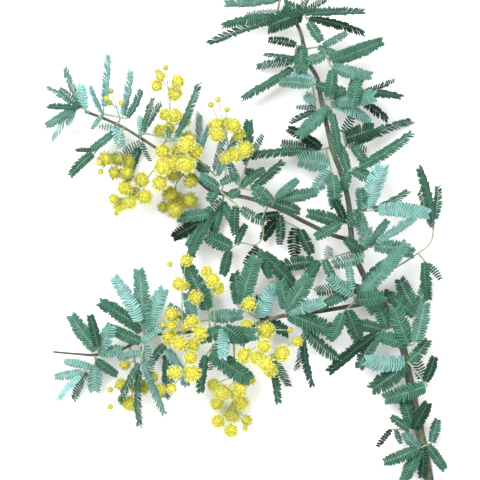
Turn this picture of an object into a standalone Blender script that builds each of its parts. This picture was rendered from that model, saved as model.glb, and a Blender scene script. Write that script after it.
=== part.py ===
"""A cut sprig of mimosa, the blue-green feathery wattle, lying on a surface.

Metres, +Z up. The sprig lies in the XY plane, with its leader running up +Y and its flowering branches towards
-X. The origin is the flat spot under the cut end of the leader, on the surface. The layout below is in
millimetres.
"""

import math
import random
from dataclasses import dataclass, field

import bmesh
import bpy
import numpy as np
from mathutils import Matrix, Vector

MM = 0.001

# Clearances, in millimetres.
SEAT_GAP = 0.3
CLEARANCE = 0.55
FLOOR_CLEARANCE = 0.35

# Sections, in millimetres.
STEM_STEP = 14.0
STALK_RADIUS = 0.9
RIB_RADIUS = 0.5
RIB_TAPER = 0.25
LEAFLET_SLANT = 1.2
LEAFLET_DROOP = 0.12
LEAFLET_PITCH = 6.2
FEWEST_LEAFLETS = 3
MOST_LEAFLETS = 4
AXIS_RADIUS = 0.75
STALKLET_RADIUS = 0.9
STALKLET_INSET = 0.3
CORE_SHARE = 0.76
HEAD_SIDES = 5
BUD_SIDES = 4
BUD_RADIUS = 1.5

# How a frond or raceme is laid out: lengths in millimetres, angles in radians, the rest shares of a length.
KNEE = 1.2
FIRST_FORK = 0.1
PINNA_SPACING = 2.2
BARE_SHARE = 0.18
FULL_HALF_SHARE = 0.19
FULL_HALF_MOST = 4.2
NARROWEST_SHARE = 0.5
FLAT_ROLL = 0.15
SLIGHT_ROLL = (0.08, 0.26)
ARCH = 0.05
BOW = 0.05
TIP_RISE = (-3.5, 2.5)
HEAD_RISE = (-3.0, 4.0)
STALKLET_SETBACK = 0.12

# The balls that stand for the sprig while it settles, in millimetres.
STEM_BALL_STEP = 1.5
BESIDE_STEM = 5.0
HEAD_BALL_SHARE = 0.93
STALKLET_BALL = 0.6
PINNA_MARGIN = 0.2
PINNA_HALF_HEIGHT = 0.45

# Heights of the free ends, in millimetres.
HIGHEST = 44.0
LOWEST = 0.3
SETTLING_ROUNDS = 900
SEED = 41

# Finishes: colour, roughness.
FINISHES = {
    "bark": ((0.20, 0.17, 0.11), 0.8),
    "green_stem": ((0.30, 0.34, 0.20), 0.7),
    "foliage": ((0.22, 0.42, 0.36), 0.6),
    "flower": ((0.92, 0.80, 0.10), 0.9),
}

FIXED = "fixed"


@dataclass(frozen=True)
class Stem:
    """A woody stem: its centreline in plan and height, and its radius from the lower end to the upper."""

    name: str
    finish: str
    route: tuple
    radii: tuple
    sides: int


@dataclass(frozen=True)
class Fan:
    """A stalk with pinnae at its end: its route in plan, its end's height, and each pinna's tip and width.

    A fourth number in a pinna holds its tip at that height.
    """

    route: tuple
    level: float
    pinnae: tuple


@dataclass(frozen=True)
class Frond:
    """The fans that leave a stem at one point."""

    name: str
    stem: str
    fans: tuple


@dataclass(frozen=True)
class Raceme:
    """A flower spray: its axis in plan, its end's height, its heads (x, y, radius) and its buds (x, y).

    A fourth number in a head holds its centre at that height.
    """

    name: str
    stem: str
    route: tuple
    level: float
    heads: tuple
    buds: tuple = ()


LEADER = Stem(
    "stem_leader",
    "bark",
    (
        (1.5, -9, 2.1), (0, 0, 2.1), (-1.5, 9, 2.3), (-4.5, 22.5, 4), (-7, 35, 5.8), (-10, 50, 8),
        (-13, 65, 10), (-17, 77.5, 12), (-24, 90, 13.5), (-31, 99, 14.5), (-36, 109, 15.3), (-39, 120, 16),
        (-40.5, 137.5, 16.5), (-44, 152.5, 16.5), (-47.5, 161.5, 16.3), (-50.5, 172.5, 16),
        (-55, 194, 15.4), (-56.5, 201.5, 15), (-61.5, 210, 14.6), (-63, 216.5, 14.3), (-65, 225, 14),
        (-69.5, 233, 13.5), (-72, 240, 13), (-73, 246, 12.6),
    ),
    (2.4, 2.2, 1.5, 1.3, 1.1, 0.75),
    8,
)
UPPER = Stem(
    "stem_upper_branch",
    "bark",
    (
        (-41.5, 120.5, 16.3), (-50, 123, 17), (-62.5, 129, 17.8), (-71, 133.5, 18), (-80, 137.5, 18),
        (-91, 141, 18), (-101, 143, 17.6), (-110, 145, 17.3), (-117, 151, 17), (-125, 157.5, 17),
        (-132.5, 163, 17), (-140, 168, 17), (-151, 175, 17.4), (-159, 179, 17.8), (-165, 181.5, 18.2),
        (-172.5, 184.3, 18.6),
    ),
    (1.1, 1.0, 0.9, 0.7, 0.6),
    6,
)
LOWER = Stem(
    "stem_lower_branch",
    "green_stem",
    (
        (-26.6, 89.5, 13.9), (-34, 88, 14.4), (-42.5, 86.5, 15), (-57.5, 84, 15.5), (-74, 82, 15.5),
        (-90, 77, 15), (-110, 75, 14.5), (-125, 73.5, 14), (-140, 72, 13.5), (-155, 65, 13),
        (-167.5, 62.5, 13.2), (-177.5, 63, 13.8), (-188.5, 64, 14.5),
    ),
    (1.1, 1.0, 0.8, 0.7, 0.5),
    6,
)
STEMS = (LEADER, UPPER, LOWER)

FRONDS = (
    # Along the upper branch, from its tip inwards.
    Frond("frond_upper_01", "stem_upper_branch", (
        Fan(((-178, 188),), 25,
            ((-173.8, 196.5, 6), (-182.5, 205, 3), (-184, 194.5, 4), (-190.5, 196, 2.6),
             (-189.5, 186.5, 3.5))),
        Fan(((-178, 184.5),), 21, ((-191, 177.5, 5.5), (-189.5, 171.5, 4.2), (-181, 178, 3.5))),
    )),
    Frond("frond_upper_02", "stem_upper_branch", (
        Fan(((-163, 185),), 25, ((-160.5, 211.5, 3.2), (-169.5, 196, 2.4), (-168.5, 176, 2.6))),
        Fan(((-151.5, 180.5),), 27, ((-149.5, 203.5, 3.6), (-144.5, 194, 4))),
    )),
    Frond("frond_upper_03", "stem_upper_branch", (
        Fan(((-158, 174.5),), 12, ((-169, 166, 4.5), (-154.5, 167.5, 6.5), (-165, 177, 4))),
        Fan(((-168, 163.5),), 10, ((-179.5, 153, 5.5), (-176.5, 165, 2.6))),
    )),
    Frond("frond_upper_04", "stem_upper_branch", (
        Fan(((-144, 173.5),), 25, ((-135, 187.5, 4.6), (-139, 190, 3), (-145, 181.5, 3.5))),
        Fan(((-128, 170),), 27, ((-116, 197, 3.2), (-131, 176, 2.6))),
    )),
    Frond("frond_upper_05", "stem_upper_branch", (
        Fan(((-145, 167),), 9, ((-154, 163, 6.5), (-151.5, 149.5, 5.5), (-140.5, 160, 3))),
    )),
    Frond("frond_upper_06", "stem_upper_branch", (
        Fan(((-115.5, 162),), 17, ((-115, 182.5, 3), (-109.5, 178, 3))),
        Fan(((-107, 152),), 17, ((-102.5, 175, 4.2), (-96, 174.5, 4), (-116, 157, 5.5))),
    )),
    Frond("frond_upper_07", "stem_upper_branch", (
        Fan(((-95, 148),), 22, ((-83.5, 155, 5), (-100, 158, 5), (-99.5, 142.5, 5.5))),
        Fan(((-90.5, 161),), 18, ((-90.5, 178.5, 6.5), (-84, 172, 4), (-95, 169.5, 3), (-88.5, 153.5, 5))),
        Fan(((-88, 144.5),), 24, ((-74.5, 158.5, 5), (-83, 138.5, 6))),
    )),
    Frond("frond_upper_08", "stem_upper_branch", (
        Fan(((-104, 137),), 11, ((-113, 133, 5.5), (-108.5, 123, 6), (-97, 126.5, 5))),
        Fan(((-112, 129),), 9, ((-128, 121.5, 7.5), (-120, 111, 5.5), (-125.5, 131, 7), (-121, 117.5, 5.5))),
    )),
    Frond("leafy_twig_inner", "stem_upper_branch", (
        Fan(((-84, 130), (-83.5, 122), (-87.5, 117.5), (-95, 118.5), (-100.5, 115)), 13,
            ((-110.5, 121.5, 9), (-103.5, 103.5, 6), (-92.5, 127, 4.6))),
        Fan(((-84.5, 114),), 14, ((-68, 97, 8.5), (-92, 108.5, 5), (-80.5, 102, 5))),
    )),
    Frond("frond_upper_09", "stem_upper_branch", (
        Fan(((-77, 141),), 28, ((-58.5, 143.5, 7), (-67, 149.5, 5), (-86, 146, 5), (-66, 134.5, 6))),
    )),
    Frond("frond_upper_10", "stem_upper_branch", (
        Fan(((-76, 131),), 11, ((-83, 121, 6.5), (-75, 118.5, 5.5), (-86, 132, 5))),
        Fan(((-65, 125.5),), 12, ((-67.5, 112.5, 7.5), (-59.5, 114, 6.5))),
    )),
    # Along the leader, from its tip downwards.
    Frond("frond_leader_01", "stem_leader", (
        Fan(((-75, 240.5),), 17, ((-101.5, 238, 5.5), (-84, 246, 4.5), (-86, 239.5, 4))),
        Fan(((-77, 230),), 12, ((-102.5, 227.5, 5.5), (-110, 219, 4.5, 0.4), (-91.5, 233.5, 4))),
    )),
    Frond("frond_leader_02", "stem_leader", (
        Fan(((-63.5, 234),), 17, ((-51, 241, 3.8), (-34, 234, 3), (-60, 245.5, 4))),
        Fan(((-61, 229),), 25, ((-80, 227, 11.5), (-34, 223.5, 5), (-55, 220, 6), (-72, 237, 7))),
    )),
    Frond("frond_leader_03", "stem_leader", (
        Fan(((-66.5, 217),), 22, ((-80, 220, 5), (-64.5, 205, 8.5))),
        Fan(((-67.5, 207),), 11, ((-86, 207.5, 5), (-93, 191.5, 5), (-82, 213, 3))),
    )),
    Frond("frond_leader_04", "stem_leader", (
        Fan(((-54, 217),), 15, ((-42, 223.5, 4.5), (-45.5, 212.5, 4.5))),
        Fan(((-49, 205),), 24,
            ((-38, 215, 5), (-24.5, 219, 8), (-30.5, 202, 7), (-60, 209.5, 6.5), (-50.5, 192.5, 7))),
    )),
    Frond("frond_leader_05", "stem_leader", (
        Fan(((-59, 197.5),), 22, ((-74.5, 199, 7), (-67.5, 204, 7), (-43.5, 194.5, 6))),
        Fan(((-57, 184.5),), 12, ((-61.5, 192, 6), (-69, 179, 3.6), (-66, 186.5, 3))),
    )),
    Frond("frond_leader_06", "stem_leader", (
        Fan(((-33, 194),), 15, ((-15.5, 191.5, 4.5), (-21.5, 181, 5), (-18, 199.5, 2.8), (-35.5, 202.5, 7))),
        Fan(((-49, 184.5),), 26, ((-29, 191.5, 10), (-31, 180, 6.5), (-65, 172.5, 8), (-46, 164, 5))),
        Fan(((-39.5, 187),), 31, ((-37, 198.5, 7),)),
    )),
    Frond("frond_leader_07", "stem_leader", (
        Fan(((-34.5, 169),), 10, ((-9.5, 180, 5, 0.4), (-24, 176.5, 4), (-31.5, 158.5, 5.5))),
        Fan(((-43.5, 173),), 14, ((-29, 175.5, 9.5), (-38.5, 182, 6), (-32, 165.5, 6))),
    )),
    Frond("frond_leader_08", "stem_leader", (
        Fan(((-58, 164.5),), 12, ((-92.5, 162, 5), (-70, 175.5, 6), (-73.5, 168.5, 7))),
        Fan(((-49, 153),), 24, ((-64.5, 160, 11), (-57.5, 145, 7.5), (-47.5, 137.5, 8))),
    )),
    Frond("frond_leader_09", "stem_leader", (
        Fan(((-37, 156),), 22, ((-10, 173, 6), (-27.5, 150.5, 7), (-43.5, 145.5, 6.5), (-45, 166, 6))),
    )),
    Frond("frond_leader_10", "stem_leader", (
        Fan(((-27.5, 135),), 25,
            ((-24.5, 156, 10.5), (-2, 133, 8.5), (-35, 145, 6.5), (-33, 123.5, 7.5), (-40.5, 129, 7.5),
             (-12, 144, 4.5))),
    )),
    Frond("frond_leader_11", "stem_leader", (
        Fan(((-27, 117.5),), 21, ((-9, 130, 5), (-9, 113.5, 8.5), (-22, 129, 5))),
        Fan(((-33, 111.5),), 25, ((-47.5, 108, 8), (-31.5, 125, 7), (-41.5, 119.5, 6.5))),
    )),
    Frond("frond_leader_12", "stem_leader", (
        Fan(((-45, 128),), 25, ((-60, 133, 7.5), (-56.5, 122, 6.5), (-47.5, 139.5, 5))),
    )),
    Frond("frond_leader_13", "stem_leader", (
        Fan(((-57, 109),), 10, ((-73, 107, 8.5), (-63, 97.5, 6.5), (-48.5, 101, 5.5), (-50, 116, 6))),
    )),
    # Along the lower branch, from the leader outwards.
    Frond("frond_lower_01", "stem_lower_branch", (
        Fan(((-39, 95),), 27, ((-12.5, 118, 8), (-50, 101, 7.5), (-41, 107.5, 5), (-24, 92, 8.5))),
        Fan(((-43.5, 84),), 24, ((-36, 71, 9), (-50, 71, 7))),
    )),
    Frond("frond_lower_02", "stem_lower_branch", (
        Fan(((-72, 85),), 21, ((-74.5, 99, 8), (-61, 101, 10), (-50, 75, 10.5), (-54, 89, 8))),
    )),
    Frond("frond_lower_03", "stem_lower_branch", (
        Fan(((-86, 80.5),), 15, ((-77.5, 97, 9), (-71.5, 73.5, 7.5))),
        Fan(((-96, 87),), 17, ((-87, 110.5, 10), (-97.5, 102.5, 8), (-84, 91, 6))),
    )),
    Frond("frond_lower_04", "stem_lower_branch", (
        Fan(((-111, 86),), 17, ((-122, 107.5, 9.5), (-111, 99, 7), (-95, 82.5, 8))),
        Fan(((-120.5, 79),), 15, ((-121.5, 92.5, 7), (-130, 87, 5))),
    )),
    Frond("frond_lower_05", "stem_lower_branch", (
        Fan(((-107, 69),), 20, ((-88.5, 73, 9.5), (-109.5, 55.5, 4.5))),
        Fan(((-111.5, 63),), 22, ((-91, 51, 11), (-114.5, 45, 5.5))),
    )),
    Frond("frond_lower_06", "stem_lower_branch", (
        Fan(((-132, 63.5),), 9, ((-132.5, 42, 7), (-122, 48, 5.5), (-140, 58, 5))),
    )),
    Frond("frond_lower_07", "stem_lower_branch", (
        Fan(((-144.5, 78),), 24, ((-145.5, 104.5, 9), (-157.5, 101, 8), (-164, 88.5, 8), (-133.5, 94.5, 9))),
    )),
    Frond("frond_lower_08", "stem_lower_branch", (
        Fan(((-143, 68),), 19, ((-160, 76, 7), (-141, 53.5, 8), (-134, 77, 6))),
        Fan(((-145, 57),), 18, ((-155, 40, 4), (-145.5, 28, 3), (-133, 34, 2.6), (-155.5, 61, 5))),
    )),
    Frond("frond_lower_09", "stem_lower_branch", (
        Fan(((-166, 66),), 22, ((-179, 81.5, 8.5), (-169.5, 81.5, 5.5), (-159.5, 76.5, 8.5), (-155, 65, 7))),
    )),
    Frond("frond_lower_10", "stem_lower_branch", (
        Fan(((-167, 58),), 11, ((-157.5, 53, 5.5), (-168, 45.5, 8.5))),
        Fan(((-175, 52.5),), 10, ((-187, 51.5, 5.5), (-185.5, 41, 4), (-178.5, 40.5, 5), (-182, 59, 5))),
    )),
    Frond("frond_lower_11", "stem_lower_branch", (
        Fan(((-63, 72),), 9, ((-45.5, 60.5, 7), (-59, 48, 3.8), (-66, 55.5, 4))),
        Fan(((-80, 62),), 9, ((-76, 39.5, 4.6), (-71, 47, 4.6))),
    )),
    # Near the cut end.
    Frond("frond_base_01", "stem_leader", (
        Fan(((-27, 73),), 18, ((-50, 54.5, 6.5), (-35, 56.5, 8), (-26, 87.5, 8), (-40.5, 78, 7))),
    )),
    Frond("frond_base_02", "stem_leader", (
        Fan(((-8, 68),), 20, ((-17.5, 85.5, 10), (-3, 87.5, 9), (-25, 71.5, 8))),
        Fan(((-6, 86),), 10, ((-14.5, 99.5, 9), (-0.5, 100, 7), (-22, 93, 7.5))),
    )),
    Frond("frond_base_03", "stem_leader", (
        Fan(((-11, 59),), 18, ((-31.5, 59.5, 9.5), (-28, 46, 10.5), (-1.5, 69, 7))),
        Fan(((-1, 47),), 13, ((-21.5, 40.5, 9.5), (2, 60.5, 6), (-6, 58.5, 7))),
    )),
    Frond("frond_base_04", "stem_leader", (
        Fan(((-9.5, 25),), 9, ((-12.5, 39.5, 8), (-18.5, 31, 5), (-1.5, 37.5, 7.5))),
        Fan(((-19, 25),), 7, ((-25.5, 17, 3.4), (-14.5, 18.5, 3.4))),
    )),
    Frond("frond_base_05", "stem_leader", (
        Fan(((-6, 15.5),), 9, ((-22, 9, 7), (-12.5, 0.5, 7.5), (-12, 22.5, 6))),
        Fan(((1, 18),), 8, ((4, 29, 6), (7, 6, 6), (-3.5, 1.5, 6.5))),
    )),
    Frond("leafy_twig_right", "stem_leader", (
        Fan(((-22.5, 103), (-12.5, 109), (-6.5, 113), (0.5, 119), (2, 130)), 20,
            ((-5.5, 155, 5.5), (4, 146, 5), (-5, 144, 5))),
        Fan(((-1.5, 108),), 16, ((-1, 91, 5.5), (5, 101, 4.5))),
    )),
    # Short fronds between the others.
    Frond("frond_upper_11", "stem_upper_branch", (
        Fan(((-105, 148),), 25, ((-114, 151.5, 6), (-110, 140, 6), (-97.5, 152, 5))),
        Fan(((-95, 136),), 24, ((-83.5, 129, 6), (-97.5, 123.5, 5.5))),
    )),
    Frond("frond_lower_12", "stem_lower_branch", (
        Fan(((-103, 77),), 22, ((-114, 71, 8), (-103.5, 62, 7), (-93, 69, 7))),
    )),
    Frond("frond_leader_14", "stem_leader", (
        Fan(((-35, 97),), 18, ((-56, 94, 7), (-54, 87, 6), (-28, 84, 7), (-22.5, 108, 7))),
    )),
)

RACEMES = (
    # On the upper branch.
    Raceme("raceme_01", "stem_upper_branch", ((-155, 172), (-157, 163)), 26,
           ((-162, 160.5, 3.8), (-156.5, 160.5, 3.8), (-151.5, 159, 3.8), (-151.5, 153.5, 3.5),
            (-157.5, 153.5, 3.5)), ((-165, 158.5), (-164.5, 154))),
    Raceme("raceme_02", "stem_upper_branch", ((-131, 172), (-130, 185), (-131, 199)), 30,
           ((-136.5, 197, 3.2), (-134.5, 201.5, 2.6), (-126, 199, 3.6), (-127.5, 193, 3.9),
            (-132.5, 182.5, 3.2), (-127.5, 182, 3.8), (-122.5, 179.5, 3), (-135, 174.5, 3.5),
            (-130.5, 175.5, 3.3), (-121, 170.5, 3.9)), ((-132, 206), (-136, 204))),
    Raceme("raceme_03", "stem_upper_branch", ((-127, 163), (-122.5, 163)), 30,
           ((-133.5, 164, 4), (-125.5, 164, 4.4), (-121.5, 167.5, 4), (-117.5, 164, 4), (-133.5, 156.5, 4.4),
            (-127.5, 158.5, 4.4), (-121.5, 157.5, 4.4))),
    Raceme("raceme_04", "stem_upper_branch", ((-136, 158), (-146, 145), (-153, 139)), 22,
           ((-144, 150, 4), (-152.5, 146, 4), (-148, 143.5, 3.7), (-158, 140.5, 2.8), (-155, 137.5, 4),
            (-150, 138.5, 3.5), (-142.5, 141.5, 4), (-135, 148.5, 4.2)),
           ((-157, 133.5),)),
    Raceme("raceme_05", "stem_upper_branch", ((-127, 148), (-127, 141)), 7,
           ((-130, 143, 4), (-126, 139.5, 4.3, 3.9), (-120, 140, 4), (-127.5, 135, 4.3), (-133.5, 136.5, 2.8),
            (-128.5, 153, 4), (-119.5, 149.5, 3.6))),
    Raceme("raceme_06", "stem_upper_branch", ((-102, 155), (-101, 168), (-103, 176)), 33,
           ((-106.5, 177, 3.9), (-102, 178, 3.5), (-106.5, 172.5, 3.9), (-98, 177, 3.9), (-95.5, 172.5, 3.2),
            (-97, 162.5, 3.9), (-92.5, 165, 3.9), (-102, 161, 3.2)),
           ((-109.5, 187.5), (-106, 190), (-101.5, 185))),
    Raceme("raceme_07", "stem_upper_branch", ((-155, 180.5), (-157, 187)), 25,
           (), ((-159.5, 194.5), (-161.5, 190.5), (-160, 188.5), (-154, 188.5))),
    # On the lower branch.
    Raceme("raceme_08", "stem_lower_branch", ((-124, 84), (-124, 98)), 26,
           ((-122, 110, 3.2), (-125.5, 98, 3.6), (-122, 97, 2.2), (-117, 91.5, 3.6)),
           ((-130, 108),)),
    Raceme("raceme_09", "stem_lower_branch", ((-108, 88), (-109, 97)), 27,
           ((-111.5, 104, 3.2), (-108.5, 100, 3.9), (-106, 96, 3.6))),
    Raceme("raceme_10", "stem_lower_branch", ((-124, 71), (-122, 62), (-123, 52)), 31,
           ((-129, 82.5, 4), (-129, 77, 2.8), (-130, 71, 4), (-125, 68.5, 4), (-119, 79, 3.6),
            (-115, 73.5, 4), (-122.5, 76.5, 2.4), (-118.5, 67.5, 3.6), (-119.5, 61.5, 3.6),
            (-127.5, 54, 3.6), (-119, 53.5, 4.4), (-129, 46, 2.6)), ((-133.5, 77.5),)),
    Raceme("raceme_11", "stem_lower_branch", ((-86, 74), (-85, 66), (-80, 60)), 32,
           ((-90.5, 88, 3.6), (-91.5, 77.5, 3.2), (-82, 74.5, 4.4), (-83, 67.5, 3.6), (-92.5, 62.5, 4.3),
            (-86.5, 61.5, 4), (-82.5, 59, 4), (-80, 55, 3.6), (-74, 63.5, 4.3), (-66.5, 69.5, 2.8)),
           ((-70, 75),)),
    Raceme("raceme_12", "stem_lower_branch", ((-98, 66), (-98, 48), (-99, 34)), 9,
           ((-108.5, 47.5, 3.2), (-104, 44, 4.4), (-96.5, 43.5, 4.4), (-95, 47, 4), (-90, 50, 2.8),
            (-95, 38.5, 4.4), (-106.5, 38, 3.6), (-99, 32.5, 4.3, 3.6), (-106, 29, 3.6), (-99.5, 24.5, 3.6),
            (-91.5, 29.5, 2.8)),
           ((-92.5, 25.5),)),
    Raceme("raceme_13", "stem_lower_branch", ((-148, 62), (-147, 50)), 12,
           ((-154.5, 47.5, 3.2), (-148, 46, 2.6), (-143, 46.5, 3.6), (-139, 51, 3.2), (-150, 38, 3.9),
            (-154, 39.5, 2.4), (-152.5, 57.5, 2.6), (-135, 45, 3.2)),
           ((-160, 45), (-160, 36.5))),
)


def blend(low, high, share):
    """The height a share of the way from one height to another, each a sum of weighted free heights."""
    keys = {**low, **high}
    return {key: (1 - share) * low.get(key, 0.0) + share * high.get(key, 0.0) for key in keys}


def raised(height, amount):
    """A height with a fixed amount added to it."""
    return {**height, FIXED: height.get(FIXED, 0.0) + amount}


@dataclass
class Ball:
    """A flattened ball that stands for a stretch of the sprig while it settles."""

    owner: str
    limb: str
    x: float
    y: float
    radius: float
    half_height: float
    height: dict
    carrier: str = ""
    is_root: bool = False

    def clears(self, other):
        """True if this ball and the other have to lie clear of each other."""
        if self.owner == other.owner:
            return self.limb != other.limb and not (self.is_root or other.is_root)
        return self.carrier != other.owner and other.carrier != self.owner


@dataclass
class Settling:
    """Raises and lowers the free ends of fronds and racemes until different pieces lie clear."""

    starts: list = field(default_factory=list)
    balls: list = field(default_factory=list)
    heights: np.ndarray = None

    def free(self, start):
        """A new free height, which starts here."""
        self.starts.append(start)
        return {len(self.starts) - 1: 1.0}

    def value(self, height):
        """A height in millimetres, once everything has settled."""
        return sum(share * (1.0 if key == FIXED else self.heights[key]) for key, share in height.items())

    def pairs(self):
        """The balls that lie over each other in plan, and how far apart in height each two have to be."""
        x = np.array([ball.x for ball in self.balls])
        y = np.array([ball.y for ball in self.balls])
        radius = np.array([ball.radius for ball in self.balls])
        half = np.array([ball.half_height for ball in self.balls])
        apart = np.hypot(x[:, None] - x, y[:, None] - y)
        first, second = np.nonzero(np.triu(apart < radius[:, None] + radius, 1))
        keep = [self.balls[a].clears(self.balls[b]) for a, b in zip(first, second)]
        first, second = first[keep], second[keep]
        between = apart[first, second]
        beyond_first = np.maximum(between - radius[second], 0) / radius[first]
        beyond_second = np.maximum(between - radius[first], 0) / radius[second]
        need = half[first] * np.sqrt(np.maximum(1 - beyond_first**2, 0))
        need = need + half[second] * np.sqrt(np.maximum(1 - beyond_second**2, 0)) + CLEARANCE
        return first, second, need

    def settle(self):
        """Moves the free heights step by step, and pulls each softly back to where it started."""
        count = len(self.starts)
        weights = np.zeros((len(self.balls), count))
        constant = np.zeros(len(self.balls))
        for row, ball in enumerate(self.balls):
            for key, share in ball.height.items():
                if key == FIXED:
                    constant[row] = share
                else:
                    weights[row, key] = share
        floor = np.array([ball.half_height + FLOOR_CLEARANCE for ball in self.balls])
        first, second, need = self.pairs()
        start = np.array(self.starts)
        heights = start.copy()
        for turn in range(SETTLING_ROUNDS):
            at = weights @ heights + constant
            gap = at[first] - at[second]
            side = np.where(gap >= 0, 1.0, -1.0)
            short = np.maximum(need - np.abs(gap), 0) * side * 0.5
            push = np.zeros(len(at))
            touched = np.zeros(len(at))
            np.add.at(push, first, short)
            np.add.at(push, second, -short)
            np.add.at(touched, first, short != 0)
            np.add.at(touched, second, short != 0)
            low = np.maximum(floor - at, 0)
            push += low
            touched += low > 0
            leverage = weights.T @ touched
            step = (weights.T @ push) / np.maximum(leverage, 1.0)
            ease = 0.02 * (1 - turn / SETTLING_ROUNDS)
            heights = np.clip(heights + 0.8 * step + ease * (start - heights), LOWEST, HIGHEST)
        self.heights = heights


def smooth_route(points, step):
    """Points about a step apart on the smooth curve through the given points."""
    ends = [points[0], *points, points[-1]]
    found = []
    for before, low, high, after in zip(ends, ends[1:], ends[2:], ends[3:]):
        before, low, high, after = (Vector(point) for point in (before, low, high, after))
        pieces = max(1, round((high - low).length / step))
        for share in (piece / pieces for piece in range(pieces)):
            cubic = (3 * (low - high) + after - before) * share
            square = 2 * before - 5 * low + 4 * high - after
            found.append(low + 0.5 * share * ((high - before) + share * (square + cubic)))
    return [*found, Vector(points[-1])]


def along(values, share):
    """The value a share of the way through a list of evenly spaced values."""
    place = min(max(share, 0.0), 1.0) * (len(values) - 1)
    low = min(int(place), len(values) - 2)
    return values[low] + (values[low + 1] - values[low]) * (place - low)


@dataclass
class Line:
    """A stalk as it is laid out: its points in plan, and their heights and shares of its length."""

    points: list
    heights: list
    shares: list

    def at(self, share):
        """The plan point and the height at a share of the length."""
        place = next(k for k in range(1, len(self.shares)) if share <= self.shares[k] + 1e-9)
        low, high = self.shares[place - 1], self.shares[place]
        local = (share - low) / (high - low)
        point = self.points[place - 1].lerp(self.points[place], local)
        return point, blend(self.heights[place - 1], self.heights[place], local)

    def nearest(self, point):
        """The share of the length at which the line passes nearest to a plan point."""
        return min((k / 40 for k in range(41)), key=lambda share: (self.at(share)[0] - Vector(point)).length)


def line_through(points, start, end):
    """A line over these plan points, which climbs evenly from its start height to its end height."""
    points = [Vector(point) for point in points]
    lengths = [(high - low).length for low, high in zip(points, points[1:])]
    shares = [sum(lengths[:k]) / sum(lengths) for k in range(len(points))]
    return Line(points, [blend(start, end, share) for share in shares], shares)


@dataclass(frozen=True)
class Seat:
    """Where a stalk leaves a stem: two points straight out of the stem's side, in millimetres."""

    foot: Vector
    knee: Vector


def stem_seat(stem, towards, level):
    """The seat on a stem nearest to a plan point, on the side that faces that point at its level."""
    route = smooth_route(stem.route, 1.0)
    inner = range(2, len(route) - 2)
    index = min(inner, key=lambda k: (route[k].xy - Vector(towards)).length)
    centre = route[index]
    tangent = (route[index + 1] - route[index - 1]).normalized()
    aim = Vector((*towards, level)) - centre
    out = (aim - tangent * aim.dot(tangent)).normalized()
    radius = along(stem.radii, index / (len(route) - 1))
    return Seat(centre + out * (radius + SEAT_GAP), centre + out * (radius + SEAT_GAP + KNEE))


@dataclass
class Pinna:
    """One pinna: the root and the tip of its rib, half its true width, and how far it is rolled and bowed."""

    root: Vector
    tip: Vector
    root_height: dict
    tip_height: dict
    half_width: float
    roll: float
    bow: float

    @property
    def length(self):
        return (self.tip - self.root).length

    def plan(self, share):
        """A point of the rib in plan."""
        chord = self.tip - self.root
        aside = Vector((-chord.y, chord.x)) * self.bow * 4 * share * (1 - share)
        return self.root + chord * share + aside

    def arch(self, share):
        """How far the rib arches over its chord."""
        return ARCH * self.length * 4 * share * (1 - share)

    def envelope(self, share):
        """The share of the full width that the leaflets reach here."""
        return math.sin(math.pi * (0.1 + 0.8 * min(max(share, 0.0), 1.0))) ** 0.75


@dataclass
class StalkPlan:
    """A stalk and what it carries, before it is made."""

    line: Line
    seat: Seat
    pinnae: list


def pinna_of(settling, draw, line, share, row, level):
    """The pinna that leaves a stalk at a share of its length, from its row in the layout."""
    root, root_height = line.at(share)
    tip = Vector(row[:2])
    length = (tip - root).length
    apparent = row[2] / 2
    true = max(apparent, min(FULL_HALF_SHARE * length, FULL_HALF_MOST))
    roll = math.acos(max(apparent / true, NARROWEST_SHARE))
    if roll < FLAT_ROLL:
        roll = draw.uniform(*SLIGHT_ROLL)
    roll = roll * draw.choice((-1, 1))
    rise = draw.uniform(*TIP_RISE)
    if len(row) == 4:
        tip_height = {FIXED: row[3]}
    else:
        tip_height = settling.free(max(2.0, level + rise))
    return Pinna(root, tip, root_height, tip_height, true, roll, draw.uniform(-BOW, BOW))


def pinna_balls(settling, owner, limb, pinna):
    """The balls that stand for a pinna. Near the root it may lie beside its neighbours."""
    for share in (0.12, 0.3, 0.48, 0.66, 0.84, 0.98):
        point = pinna.plan(share)
        half = pinna.half_width * pinna.envelope(share)
        height = raised(blend(pinna.root_height, pinna.tip_height, share), pinna.arch(share))
        across = half * math.cos(pinna.roll) + PINNA_MARGIN
        deep = half * abs(math.sin(pinna.roll)) + PINNA_HALF_HEIGHT
        ball = Ball(owner, limb, point.x, point.y, across, deep, height, is_root=share < 0.25)
        settling.balls.append(ball)


def line_balls(settling, owner, line, radius, carrier):
    """The balls that stand for a stalk. Its first stretch may lie beside the stem that carries it."""
    length = sum((high - low).length for low, high in zip(line.points, line.points[1:]))
    count = max(2, round(length / 2))
    for step in range(count + 1):
        point, height = line.at(step / count)
        near = carrier if step * length / count < BESIDE_STEM else ""
        ball = Ball(owner, "stalk", point.x, point.y, radius, radius, height, near, is_root=True)
        settling.balls.append(ball)


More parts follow.
